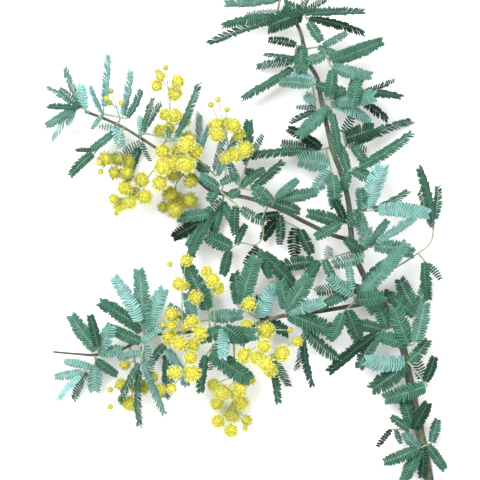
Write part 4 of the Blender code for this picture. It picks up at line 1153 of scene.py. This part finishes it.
@dataclass
class Shader:
    """A material or a node group while its nodes are being laid out."""

    tree: bpy.types.NodeTree

    @classmethod
    def group(cls, name: str, given: dict, found: dict) -> tuple[Shader, Node, Node]:
        """Starts a node group.

        Args:
            name: Its name.
            given: The kind of each input, by its name.
            found: The kind of each output, by its name.

        Returns:
            The group while it is laid out, the node with what it is given, and the node for what it finds.
        """
        tree = bpy.data.node_groups.new(name, "ShaderNodeTree")
        for in_out, sockets in (("INPUT", given), ("OUTPUT", found)):
            for socket, kind in sockets.items():
                tree.interface.new_socket(socket, in_out=in_out, socket_type=kind)
        shader = cls(tree)
        return shader, shader.node("NodeGroupInput"), shader.node("NodeGroupOutput")

    def node(self, kind: str, inputs: dict | None = None, **settings: object) -> Node:
        """Adds a node.

        Args:
            kind: The node's type.
            inputs: What some of its inputs are given, by their names or numbers.
            **settings: Its properties.

        Returns:
            The node.
        """
        node = self.tree.nodes.new(kind)
        for name, value in settings.items():
            setattr(node, name, value)
        for name, value in (inputs or {}).items():
            self.feed(node.inputs[name], value)
        return node

    def feed(self, socket: Socket, value: object) -> None:
        """Gives an input what it needs.

        Args:
            socket: The input.
            value: An output to link, a colour of three numbers, or a plain number.
        """
        if isinstance(value, Socket):
            self.tree.links.new(value, socket)
        else:
            socket.default_value = (*value, 1) if isinstance(value, tuple) else value

    def maths(self, operation: str, first: object, second: object = 0.0) -> Socket:
        """The result of a maths node that works on one or two numbers or outputs."""
        return self.node("ShaderNodeMath", {0: first, 1: second}, operation=operation).outputs[0]

    def mixed(self, share: object, low: object, high: object) -> Socket:
        """The colour at a share of the way between two colours, each of them given or an output."""
        return self.node("ShaderNodeMix", {0: share, 6: low, 7: high}, data_type="RGBA").outputs[2]

    def ramp(self, value: Socket, low: float, high: float) -> Socket:
        """An output's stretch from low to high spread over 0 to 1, with soft ends."""
        inputs = {"From Min": low, "From Max": high, "Value": value}
        return self.node("ShaderNodeMapRange", inputs, interpolation_type="SMOOTHSTEP").outputs["Result"]

    def tone(self) -> Socket:
        """The tone of the shape that a point belongs to."""
        return self.node("ShaderNodeAttribute", attribute_name="tone").outputs["Fac"]

    def place(self) -> tuple[Socket, Socket, Socket]:
        """The three numbers that tell where on its shape a point lies."""
        vector = self.node("ShaderNodeAttribute", attribute_name="place").outputs["Vector"]
        return tuple(self.node("ShaderNodeSeparateXYZ", {0: vector}).outputs)


class Effects:
    """The effects that several finishes share, as node groups."""

    def __init__(self) -> None:
        """Builds the groups."""
        self.mottle = self.build_mottle()
        self.grain = self.build_grain()

    @staticmethod
    def build_mottle() -> bpy.types.NodeTree:
        """Builds soft blotches that shift a colour darker and lighter.

        Returns:
            The group, with a colour, a scale in blotches per metre and an amount going in, and a colour and
            the blotches' own mask coming out.
        """
        inputs = {"Color": "NodeSocketColor", "Scale": "NodeSocketFloat", "Amount": "NodeSocketFloat"}
        outputs = {"Color": "NodeSocketColor", "Mask": "NodeSocketFloat"}
        shader, given, found = Shader.group("mottle", inputs, outputs)
        where = shader.node("ShaderNodeTexCoord").outputs["Object"]
        blotches = {"Detail": 3.0, "Vector": where, "Scale": given.outputs["Scale"]}
        mask = shader.ramp(shader.node("ShaderNodeTexNoise", blotches).outputs["Fac"], 0.3, 0.7)
        shift = shader.maths("MULTIPLY", shader.maths("SUBTRACT", mask, 0.5), given.outputs["Amount"])
        change = {"Value": shader.maths("ADD", shift, 1.0), "Color": given.outputs["Color"]}
        changed = shader.node("ShaderNodeHueSaturation", change)
        shader.feed(found.inputs["Color"], changed.outputs["Color"])
        shader.feed(found.inputs["Mask"], mask)
        return shader.tree

    @staticmethod
    def build_grain() -> bpy.types.NodeTree:
        """Builds a fine grain that runs along a stem or a leaflet.

        Returns:
            The group, with a scale along, a scale across and a roughness going in, and a height and a
            roughness coming out.
        """
        inputs = dict.fromkeys(("Along", "Across", "Roughness"), "NodeSocketFloat")
        outputs = dict.fromkeys(("Height", "Roughness"), "NodeSocketFloat")
        shader, given, found = Shader.group("grain", inputs, outputs)
        length, turn, _ = shader.place()
        across = given.outputs["Across"]
        wrapped = {
            "X": shader.maths("MULTIPLY", length, given.outputs["Along"]),
            "Y": shader.maths("MULTIPLY", shader.maths("COSINE", turn), across),
            "Z": shader.maths("MULTIPLY", shader.maths("SINE", turn), across),
        }
        where = shader.node("ShaderNodeCombineXYZ", wrapped).outputs[0]
        fibres = shader.node("ShaderNodeTexNoise", {"Scale": 1.0, "Detail": 4.0, "Vector": where})
        height = fibres.outputs["Fac"]
        swing = shader.maths("MULTIPLY", shader.maths("SUBTRACT", height, 0.5), 0.3)
        shader.feed(found.inputs["Height"], height)
        shader.feed(found.inputs["Roughness"], shader.maths("ADD", swing, given.outputs["Roughness"]))
        return shader.tree


@dataclass(frozen=True)
class Finish:
    """What every finish has: its name, the shared effects, and how its material comes about."""

    name: str
    effects: Effects

    def material(self) -> bpy.types.Material:
        """Builds the material.

        Returns:
            The material.
        """
        material = bpy.data.materials.new(self.name)
        material.use_nodes = True
        shader = Shader(material.node_tree)
        bsdf = material.node_tree.nodes["Principled BSDF"]
        shader.feed(bsdf.inputs["Base Color"], self.colour(shader, bsdf))
        return material

    def colour(self, shader: Shader, bsdf: Node) -> Socket:
        """Finds the colour of the surface and sets the rest of it. Each finish has its own way."""
        raise NotImplementedError

    def mottled(self, shader: Shader, colour: object, scale: float, amount: float) -> Node:
        """Adds the shared mottle to a colour, with its blotches per metre and how much they shift it."""
        inputs = {"Color": colour, "Scale": scale, "Amount": amount}
        return shader.node("ShaderNodeGroup", inputs, node_tree=self.effects.mottle)

    def grained(self, shader: Shader, bsdf: Node, scales: tuple, roughness: float, depth: float) -> Node:
        """Adds the shared grain to a surface, as its roughness and its bump.

        Args:
            shader: The shader.
            bsdf: The Principled node.
            scales: The grain's scale along and across.
            roughness: The middle roughness.
            depth: The bump's depth, in metres.

        Returns:
            The group's node.
        """
        inputs = {"Along": scales[0], "Across": scales[1], "Roughness": roughness}
        group = shader.node("ShaderNodeGroup", inputs, node_tree=self.effects.grain)
        relief = {"Strength": 0.8, "Distance": depth, "Height": group.outputs["Height"]}
        shader.feed(bsdf.inputs["Normal"], shader.node("ShaderNodeBump", relief).outputs["Normal"])
        shader.feed(bsdf.inputs["Roughness"], group.outputs["Roughness"])
        return group


@dataclass(frozen=True)
class LeafletFinish(Finish):
    """A leaflet: dark green beneath a chalky blue wax bloom, with a paler midrib; painted shade darkens its
    edges, its underside and low tones.
    """

    deep: tuple = (0.0025, 0.020, 0.004)
    middle: tuple = (0.050, 0.155, 0.096)
    chalky: tuple = (0.285, 0.54, 0.515)

    def colour(self, shader: Shader, bsdf: Node) -> Socket:
        """Finds the colour by the pinna's tone and the point's place on its leaflet.

        Args:
            shader: The material's shader.
            bsdf: Its Principled node.

        Returns:
            The colour.
        """
        # A low pinna tone paints the leaflets deep green: partly less bloom, partly painted shade.
        tone = shader.tone()
        lower = shader.mixed(shader.ramp(tone, 0.0, 0.5), self.deep, self.middle)
        colour = shader.mixed(shader.ramp(tone, 0.5, 1.0), lower, self.chalky)
        _, across, face = shader.place()
        off_midrib = shader.ramp(shader.maths("ABSOLUTE", across), 0.0, 0.3)
        colour = shader.mixed(off_midrib, shader.mixed(0.12, colour, self.chalky), colour)
        # Painted shade: each leaflet darkens towards its edges, for the shadow in the gaps between close
        # leaflets.
        painted_gap_shade = shader.ramp(shader.maths("ABSOLUTE", across), 0.45, 1.0)
        colour = shader.mixed(shader.maths("MULTIPLY", painted_gap_shade, 0.6), colour, self.deep)
        # Painted shade: the underside of each leaflet is darkened towards the deep green.
        painted_underside_shade = shader.maths("SUBTRACT", 1.0, shader.ramp(face, 0.0, 0.5))
        colour = shader.mixed(shader.maths("MULTIPLY", painted_underside_shade, 0.35), colour, self.deep)
        self.grained(shader, bsdf, (9.0, 3.0), 0.6, 0.00004)
        bsdf.inputs["Specular IOR Level"].default_value = 0.12
        return self.mottled(shader, colour, 260.0, 0.35).outputs["Color"]


@dataclass(frozen=True)
class StalkFinish(Finish):
    """A green stalk or rib, paler than the leaflets, ruddier where it is aged; on a rib the dark end is partly
    painted shade.
    """

    young: tuple = (0.30, 0.44, 0.26)
    old_and_shaded: tuple = (0.17, 0.16, 0.10)

    def colour(self, shader: Shader, bsdf: Node) -> Socket:
        """Finds the colour by the tone, which is how young the stalk is; on a rib it is its pinna's tone,
        partly painted shade.

        Args:
            shader: The material's shader.
            bsdf: Its Principled node.

        Returns:
            The colour.
        """
        self.grained(shader, bsdf, (0.8, 2.4), 0.62, 0.00006)
        colour = shader.mixed(shader.tone(), self.old_and_shaded, self.young)
        return self.mottled(shader, colour, 420.0, 0.5).outputs["Color"]


@dataclass(frozen=True)
class BarkFinish(Finish):
    """Thin young bark with long fine ridges, and the pale wood of the cut end."""

    ridge: tuple = (0.095, 0.108, 0.068)
    groove: tuple = (0.026, 0.031, 0.018)
    lichen: tuple = (0.11, 0.15, 0.09)
    wood: tuple = (0.62, 0.50, 0.30)
    late_wood: tuple = (0.465, 0.375, 0.225)
    pith: tuple = (0.30, 0.20, 0.10)

    def colour(self, shader: Shader, bsdf: Node) -> Socket:
        """Finds the colour by a point's place along and round the stem, and where it is cut.

        Args:
            shader: The material's shader.
            bsdf: Its Principled node.

        Returns:
            The colour.
        """
        grain = self.grained(shader, bsdf, (0.55, 3.2), 0.82, 0.00022)
        colour = shader.mixed(shader.ramp(grain.outputs["Height"], 0.38, 0.62), self.groove, self.ridge)
        blotches = self.mottled(shader, colour, 95.0, 0.5)
        green = shader.maths("MULTIPLY", shader.ramp(blotches.outputs["Mask"], 0.55, 1.0), 0.5)
        colour = shader.mixed(green, blotches.outputs["Color"], self.lichen)
        _, radius, cut = shader.place()
        rings = shader.maths("SINE", shader.maths("MULTIPLY", radius, 24.0))
        wood = shader.mixed(shader.ramp(rings, -1.0, 1.0), self.wood, self.late_wood)
        wood = shader.mixed(shader.ramp(radius, 0.28, 0.16), wood, self.pith)
        return shader.mixed(cut, colour, wood)


@dataclass(frozen=True)
class StamenFinish(Finish):
    """The stamens of a head: lemon yellow, with a deeper golden root and pale anthers."""

    root: tuple = (0.47, 0.44, 0.006)
    filament: tuple = (0.93, 0.90, 0.12)
    anther: tuple = (0.97, 0.97, 0.33)
    olive: tuple = (0.25, 0.26, 0.004)

    def colour(self, shader: Shader, bsdf: Node) -> Socket:
        """Finds the colour by how far along its stamen a point lies and how ripe its head is, dulled by painted
        shade.

        Args:
            shader: The material's shader.
            bsdf: Its Principled node.

        Returns:
            The colour.
        """
        length, _, is_anther = shader.place()
        colour = shader.mixed(shader.ramp(length, 0.2, 0.8), self.root, self.filament)
        colour = shader.mixed(is_anther, colour, self.anther)
        bsdf.inputs["Roughness"].default_value = 0.75
        bsdf.inputs["Subsurface Weight"].default_value = 0.3
        bsdf.inputs["Subsurface Scale"].default_value = 0.001
        bsdf.inputs["Subsurface Radius"].default_value = (1.0, 0.8, 0.2)
        # Painted shade and ripeness: a low tone dulls the stamens towards olive.
        ripe_and_lit = shader.mixed(shader.tone(), self.olive, colour)
        return self.mottled(shader, ripe_and_lit, 300.0, 0.16).outputs["Color"]


@dataclass(frozen=True)
class CoreFinish(Finish):
    """The crowded florets in the middle of a head, or the closed ones of a bud."""

    groove: tuple = (0.34, 0.30, 0.005)
    floret: tuple = (0.78, 0.73, 0.05)
    closed: tuple = (0.50, 0.56, 0.12)
    florets_per_metre: float = 1700.0

    def colour(self, shader: Shader, bsdf: Node) -> Socket:
        """Finds the colour by the floret that a point lies on. A low tone is a green, closed bud; a head's tone
        is partly painted shade.

        Args:
            shader: The material's shader.
            bsdf: Its Principled node.

        Returns:
            The colour.
        """
        where = shader.node("ShaderNodeTexCoord").outputs["Object"]
        cells = shader.node("ShaderNodeTexVoronoi", {"Scale": self.florets_per_metre, "Vector": where})
        away = cells.outputs["Distance"]
        middle = shader.ramp(away, 0.7, 0.2)
        opened = shader.mixed(middle, self.groove, self.floret)
        shut = shader.mixed(middle, self.groove, self.closed)
        bump = shader.node("ShaderNodeBump", {"Distance": 0.0003, "Height": away}, invert=True)
        shader.feed(bsdf.inputs["Normal"], bump.outputs["Normal"])
        bsdf.inputs["Roughness"].default_value = 0.7
        colour = shader.mixed(shader.tone(), shut, opened)
        return self.mottled(shader, colour, 380.0, 0.2).outputs["Color"]


@dataclass(frozen=True)
class FloorFinish(Finish):
    """A smooth pale table top."""

    pale: tuple = (0.90, 0.90, 0.90)

    def colour(self, shader: Shader, bsdf: Node) -> Socket:
        """Finds the colour, which is much the same all over."""
        bsdf.inputs["Roughness"].default_value = 0.9
        return self.mottled(shader, self.pale, 6.0, 0.01).outputs["Color"]


@dataclass
class Palette:
    """Every material of the scene."""

    effects: Effects = field(default_factory=Effects)

    def __post_init__(self) -> None:
        """Builds the materials."""
        # The rib takes its pinna's tone, so its dark end is partly painted shade.
        rib = StalkFinish("pinna_rib", self.effects, young=(0.20, 0.38, 0.31), old_and_shaded=(0.03, 0.09, 0.05))
        self.leaflet = LeafletFinish("glaucous_leaflet", self.effects).material()
        self.stalk = StalkFinish("green_stalk", self.effects).material()
        self.rib = rib.material()
        self.bark = BarkFinish("young_bark", self.effects).material()
        self.stamens = StamenFinish("lemon_stamens", self.effects).material()
        self.core = CoreFinish("packed_florets", self.effects).material()
        self.floor = FloorFinish("pale_table_top", self.effects).material()


@dataclass
class StemPiece:
    """A woody stem with its fine ridges, its knots and, on the leader, its cut end."""

    stem: Stem
    palette: Palette
    sides: int = 20
    step: float = 1.2
    ridges: tuple = ((3, 0.03), (5, 0.025), (9, 0.02))
    ridge_wander: float = 0.08
    knot_swell: float = 0.16
    knot_reach: float = 1.5
    knot_spread: float = 3.0
    cut_rings: tuple = (0.96, 0.7, 0.4, 0.18)

    def radii(self, route: list[Vector], seats: list[Vector], rng: Rng) -> np.ndarray:
        """Works out the radius at each point and side.

        Args:
            route: The centreline.
            seats: Where stalks sit on the stems.
            rng: The random numbers of this stem.

        Returns:
            The radii, one row for each point of the route.
        """
        shares = np.linspace(0, 1, len(route))
        radii = np.array([along(self.stem.radii, share) for share in shares])[:, None] * np.ones(self.sides)
        turns = np.arange(self.sides) * math.tau / self.sides
        for count, depth in self.ridges:
            wander = np.cumsum(rng.normal(0, self.ridge_wander, len(route)))
            radii *= 1 + depth * np.sin(count * turns[None] + rng.uniform(0, math.tau) + wander[:, None])
        for seat in seats:
            apart = np.array([(point - seat).length for point in route])
            if apart.min() < self.stem.radii[0] + self.knot_reach:
                rings_away = np.arange(len(route)) - apart.argmin()
                swell = np.exp(-((apart - apart.min()) ** 2 + rings_away**2) / self.knot_spread)
                radii *= 1 + self.knot_swell * swell[:, None]
        return radii

    def build(self, seats: list[Vector], rng: Rng) -> None:
        """Builds the stem.

        Args:
            seats: Where stalks sit on the stems.
            rng: The random numbers of this stem.
        """
        route = smooth_route(self.stem.route, self.step)
        rings = self.cut_rings if self.stem is LEADER else ()
        shape = Shape.tube(np.array(route), self.radii(route, seats, rng), self.sides, rings)
        piece = Piece(f"{self.stem.name}_bark", (self.palette.bark,))
        piece.add(shape, self.palette.bark)
        piece.made((self.stem.name,))


@dataclass
class FrondPiece:
    """A frond: its stalks, and pinnae with two rows of close leaflets.

    How far the leaflets lean is in degrees, and how far they tilt is in radians.
    """

    frond: Frond
    plans: list
    settling: Settling
    palette: Palette
    leaflet_pitch: float = 1.15
    leaflet_width: float = 1.6
    leaflet_tilt: float = 0.32
    fewest_pairs: int = 6
    first_leaflet: float = 0.07
    last_leaflet: float = 0.985
    root_lean: float = 74.0
    lean_lost: float = 26.0
    lean_spread: float = 3.0
    droop: float = -0.10
    droop_spread: float = 0.07
    length_spread: tuple = (0.93, 1.05)
    outline: tuple = (0.14, 0.74, 0.55)
    stalk_radius: float = 0.5
    stalk_taper: float = 0.75
    stalk_step: float = 1.0
    stalk_sides: int = 8
    stalk_tone: float = 0.45
    foot_swell: float = 0.7
    foot_rings: float = 1.2
    rib_radius: float = 0.3
    rib_tip_radius: float = 0.1
    rib_points: int = 10
    rib_sides: int = 5
    fine_points: int = 60
    roll_shade: float = 0.12
    tone_lift: float = 0.035
    tone_spread: float = 0.17
    leaflet_shape: Shape = field(default_factory=Shape.leaflet)

    def tone(self, pinna: Pinna, fan_tone: Tone, rng: Rng) -> float:
        """Chooses how pale a pinna is, round its fan's tone. A rolled pinna is painted darker, as painted
        shade.

        Args:
            pinna: The pinna.
            fan_tone: The tone of its fan.
            rng: The random numbers of this frond.

        Returns:
            The tone, from 0 to 1.
        """
        # Painted shade: the more a pinna is rolled, the darker it is painted.
        shade = self.roll_shade * abs(pinna.roll)
        tone = fan_tone.value - shade + rng.normal(self.tone_lift, self.tone_spread)
        return float(np.clip(tone, 0.0, 1.0))

    def reach(self, pinna: Pinna, shares: np.ndarray) -> np.ndarray:
        """How far a pinna's leaflets stand out from its rib, at shares of the rib."""
        start, run, power = self.outline
        return pinna.half_width * np.sin(math.pi * (start + run * shares)) ** power

    def add_pinna(self, piece: Piece, pinna: Pinna, fan_tone: Tone, rng: Rng) -> None:
        """Adds a pinna.

        Args:
            piece: The piece it joins.
            pinna: The pinna.
            fan_tone: The tone of its fan.
            rng: The random numbers of this frond.
        """
        tone = self.tone(pinna, fan_tone, rng)
        spine = pinna.spine(self.settling, self.rib_points)
        radii = np.linspace(self.rib_radius, self.rib_tip_radius, self.rib_points)
        piece.add(Shape.tube(spine, radii, self.rib_sides), self.palette.rib, tone)
        pairs = round(pinna.length * (1 - self.first_leaflet) / self.leaflet_pitch)
        pairs = max(self.fewest_pairs, pairs)
        shares = np.linspace(self.first_leaflet, self.last_leaflet, pairs)
        fine = pinna.spine(self.settling, self.fine_points)
        known = np.linspace(0, 1, self.fine_points)
        centres = np.array([np.interp(shares, known, fine[:, axis]) for axis in range(3)]).T
        forward = unit(np.gradient(centres, axis=0))
        beside = unit(np.cross((0, 0, 1), forward))
        beside, upright = turned(beside, np.cross(forward, beside), pinna.roll)
        reach = self.reach(pinna, shares)
        for side in (-1, 1):
            lean = self.root_lean - self.lean_lost * shares**2 + rng.normal(0, self.lean_spread, pairs)
            lean = np.radians(lean)
            droop = self.droop + rng.normal(0, self.droop_spread, pairs)
            out = forward * np.cos(lean)[:, None] + beside * (side * np.sin(lean))[:, None]
            out = unit(out + upright * droop[:, None])
            across = unit(np.cross(upright, out))
            across, lift = turned(across, np.cross(out, across), self.leaflet_tilt * side)
            lengths = reach / np.sin(lean) * rng.uniform(*self.length_spread, pairs)
            half = 0.5 * self.leaflet_width
            bases = np.stack([out * lengths[:, None], across * half, lift * half], axis=-1)
            piece.add(self.leaflet_shape.copies(bases, centres), self.palette.leaflet, tone)

    def build(self, rng: Rng) -> None:
        """Builds the frond.

        Args:
            rng: The random numbers of this frond.
        """
        finishes = (self.palette.leaflet, self.palette.stalk, self.palette.rib)
        piece = Piece(f"{self.frond.name}_leaflets", finishes)
        for plan, fan in zip(self.plans, self.frond.fans):
            route = np.array(smooth_route(plan.points(self.settling), self.stalk_step))
            radii = np.linspace(self.stalk_radius, self.stalk_radius * self.stalk_taper, len(route))
            if plan.seat:
                radii *= 1 + self.foot_swell * np.exp(-np.arange(len(route)) / self.foot_rings)
            piece.add(Shape.tube(route, radii, self.stalk_sides), self.palette.stalk, self.stalk_tone)
            for pinna in plan.pinnae:
                self.add_pinna(piece, pinna, fan.tone, rng)
        piece.made((self.frond.name,))


@dataclass
class RacemePiece:
    """A flower spray: its axis, fluffy heads and pebbled buds on thin stalks."""

    raceme: Raceme
    plan: RacemePlan
    settling: Settling
    palette: Palette
    axis_radii: tuple = (0.54, 0.27)
    axis_step: float = 1.0
    axis_sides: int = 8
    axis_tone: float = 0.6
    stalk_radii: tuple = (0.27, 0.22)
    stalk_step: float = 1.5
    stalk_sides: int = 6
    stalk_tone: float = 0.8
    stalk_sag: float = 0.06
    core_tones: tuple = (0.3, 0.7)
    core_share: float = 0.84
    root_share: float = 0.85
    full_size: float = 4.2
    florets_at_full_size: int = 44
    floret_spread: float = 0.1
    stamens_in_a_floret: int = 8
    splay: float = 0.33
    reach: tuple = (1.08, 1.22)
    reach_spread: float = 0.07
    filament_radius: float = 0.085
    ripeness_and_light: tuple = (-0.15, 1.5)
    ripeness_and_light_spread: float = 0.07
    half_open_radius: float = 3.0
    half_open_loss: float = 0.25
    least_ripe_and_lit: float = 0.1
    stamen_shape: Shape = field(default_factory=Shape.stamen)
    core_shape: Shape = field(default_factory=lambda: Shape.ball(14, 9))
    bud_shape: Shape = field(default_factory=lambda: Shape.ball(16, 11))

    def add_stamens(self, piece: Piece, centre: np.ndarray, radius: float, ripe_and_lit: float, rng: Rng) -> None:
        """Adds the stamens of a head, in tufts that stand out of its florets on all sides.

        Args:
            piece: The piece they join.
            centre: The head's centre.
            radius: The head's radius.
            ripe_and_lit: How ripe the head is, lowered by painted shade, from 0 to 1.
            rng: The random numbers of this raceme.
        """
        florets = round(self.florets_at_full_size * radius / self.full_size)
        steps = np.arange(florets) + 0.5
        lean = np.arccos(1 - 2 * steps / florets)
        turn = math.pi * (1 + 5**0.5) * steps + rng.uniform(0, math.tau)
        out = np.column_stack([np.cos(turn) * np.sin(lean), np.sin(turn) * np.sin(lean), np.cos(lean)])
        out = unit(out + rng.normal(0, self.floret_spread, out.shape))
        reach = np.repeat(rng.uniform(*self.reach, florets), self.stamens_in_a_floret)
        out = np.repeat(out, self.stamens_in_a_floret, axis=0)
        splay = unit(out + rng.normal(0, self.splay, out.shape))
        beside = unit(np.cross(splay, (0.3, 0.5, 0.81)))
        upright = np.cross(splay, beside)
        inner = radius * self.core_share * self.root_share
        reach = reach + rng.uniform(-self.reach_spread, self.reach_spread, len(reach))
        along_it = splay * (radius * reach - inner)[:, None]
        bases = np.stack([beside * self.filament_radius, upright * self.filament_radius, along_it], -1)
        stamens = self.stamen_shape.copies(bases, centre + out * inner)
        piece.add(stamens, self.palette.stamens, ripe_and_lit)

    def ripe_and_lit(self, head: Head, rng: Rng) -> float:
        """Chooses how ripe a head is, by its raceme's tone, which is partly painted shade, and its size.

        Args:
            head: The head.
            rng: The random numbers of this raceme.

        Returns:
            The ripeness, lowered by painted shade, up to 1.
        """
        # The raceme's tone is partly painted shade: the heads of a dark spray are painted duller and greener.
        least, more = self.ripeness_and_light
        ripe_and_lit = least + more * self.raceme.tone.value + rng.normal(0.0, self.ripeness_and_light_spread)
        if head.radius < self.half_open_radius:
            ripe_and_lit -= self.half_open_loss
        return float(np.clip(ripe_and_lit, self.least_ripe_and_lit, 1.0))

    def add_head(self, piece: Piece, head: Head, rng: Rng) -> None:
        """Adds a head or a bud with its stalk.

        Args:
            piece: The piece it joins.
            head: The head.
            rng: The random numbers of this raceme.
        """
        centre = np.array((*head.centre, self.settling.value(head.height)))
        foot = np.array((*head.foot, self.settling.value(head.foot_height)))
        sag = np.array((0, 0, -self.stalk_sag * np.linalg.norm(centre - foot)))
        route = [foot, foot * 0.5 + centre * 0.5 + sag, centre]
        route = np.array(smooth_route(route, self.stalk_step))
        radii = np.linspace(*self.stalk_radii, len(route))
        piece.add(Shape.tube(route, radii, self.stalk_sides), self.palette.stalk, self.stalk_tone)
        if head.is_bud:
            piece.add(self.bud_shape.moved(centre, head.radius), self.palette.core, 0.0)
            return
        ripe_and_lit = self.ripe_and_lit(head, rng)
        core = self.core_shape.moved(centre, head.radius * self.core_share)
        least, more = self.core_tones
        piece.add(core, self.palette.core, least + more * ripe_and_lit)
        self.add_stamens(piece, centre, head.radius, ripe_and_lit, rng)

    def build(self, rng: Rng) -> None:
        """Builds the raceme.

        Args:
            rng: The random numbers of this raceme.
        """
        finishes = (self.palette.stalk, self.palette.core, self.palette.stamens)
        piece = Piece(f"{self.raceme.name}_flowers", finishes)
        route = np.array(smooth_route(self.plan.points(self.settling), self.axis_step))
        radii = np.linspace(*self.axis_radii, len(route))
        piece.add(Shape.tube(route, radii, self.axis_sides), self.palette.stalk, self.axis_tone)
        for head in self.plan.heads:
            self.add_head(piece, head, rng)
        piece.made((self.raceme.name,))


@dataclass
class Sprig:
    """The whole sprig."""

    palette: Palette

    def build(self) -> None:
        """Lays the sprig out and builds every piece."""
        planner = Planner()
        fronds, racemes = planner.lay_out()
        settling = planner.settling
        LOG.info("settled %d free heights", len(settling.starts))
        plans = [plan for frond in fronds for plan in frond] + racemes
        seats = [plan.seat.foot for plan in plans if plan.seat]
        for number, stem in enumerate(STEMS):
            StemPiece(stem, self.palette).build(seats, np.random.default_rng(SEED + number))
        for number, rows in enumerate(zip(FRONDS, fronds)):
            FrondPiece(*rows, settling, self.palette).build(np.random.default_rng((SEED, 1, number)))
        for number, rows in enumerate(zip(RACEMES, racemes)):
            RacemePiece(*rows, settling, self.palette).build(np.random.default_rng((SEED, 2, number)))


@dataclass(frozen=True)
class Softbox:
    """A large soft lamp: where it hangs, how wide it is, and its power."""

    name: str
    place: tuple[float, float, float]
    width: float
    power: float

    def build(self, aim: Vector) -> None:
        """Hangs the lamp.

        Args:
            aim: What it faces.
        """
        lamp = bpy.data.lights.new(self.name, "AREA")
        lamp.shape = "SQUARE"
        lamp.size = self.width
        lamp.energy = self.power
        obj = bpy.data.objects.new(self.name, lamp)
        obj.location = self.place
        obj.rotation_euler = (aim - Vector(self.place)).to_track_quat("-Z", "Y").to_euler()
        bpy.context.scene.collection.objects.link(obj)


@dataclass
class Studio:
    """A pale floor, soft lamps and a camera that looks straight down."""

    palette: Palette
    aim: tuple[float, float, float] = (-0.095, 0.12, 0.018)
    frame_height: float = 0.24
    camera_height: float = 3.0
    sensor: float = 0.036
    floor_size: float = 6.0
    sky_strength: float = 1.15
    softboxes: tuple = (
        Softbox("key_softbox", (-0.7, 0.9, 1.9), 1.0, 48.0),
        Softbox("fill_softbox", (1.1, -0.7, 1.4), 1.4, 12.0),
    )

    def build_floor(self) -> None:
        """Lays the floor."""
        half = self.floor_size / 2
        corners = [(-half, -half, 0), (half, -half, 0), (half, half, 0), (-half, half, 0)]
        mesh = bpy.data.meshes.new("table_top")
        mesh.from_pydata(corners, [], [(0, 1, 2, 3)])
        mesh.materials.append(self.palette.floor)
        floor = bpy.data.objects.new("table_top", mesh)
        bpy.context.scene.collection.objects.link(floor)

    def build_light(self) -> None:
        """Sets the soft sky light and hangs the lamps."""
        world = bpy.data.worlds.new("studio")
        world.use_nodes = True
        background = world.node_tree.nodes["Background"]
        background.inputs["Color"].default_value = (1, 1, 1, 1)
        background.inputs["Strength"].default_value = self.sky_strength
        bpy.context.scene.world = world
        for softbox in self.softboxes:
            softbox.build(Vector(self.aim))
        bpy.context.scene.view_settings.view_transform = "Standard"

    def build_camera(self) -> None:
        """Sets the camera up."""
        data = bpy.data.cameras.new("camera")
        data.sensor_width = self.sensor * 1000
        data.lens = 1000 * self.sensor * (self.camera_height - self.aim[2]) / self.frame_height
        data.clip_end = 20
        camera = bpy.data.objects.new("camera", data)
        camera.location = (*self.aim[:2], self.camera_height)
        bpy.context.scene.collection.objects.link(camera)
        bpy.context.scene.camera = camera

    def build(self) -> None:
        """Builds the studio."""
        self.build_floor()
        self.build_light()
        self.build_camera()


def main() -> None:
    """Builds the sprig and its studio, piece by piece."""
    logging.basicConfig(level=logging.INFO, format="%(message)s")
    palette = Palette()
    Sprig(palette).build()
    Studio(palette).build()


if __name__ == "__main__":
    main()
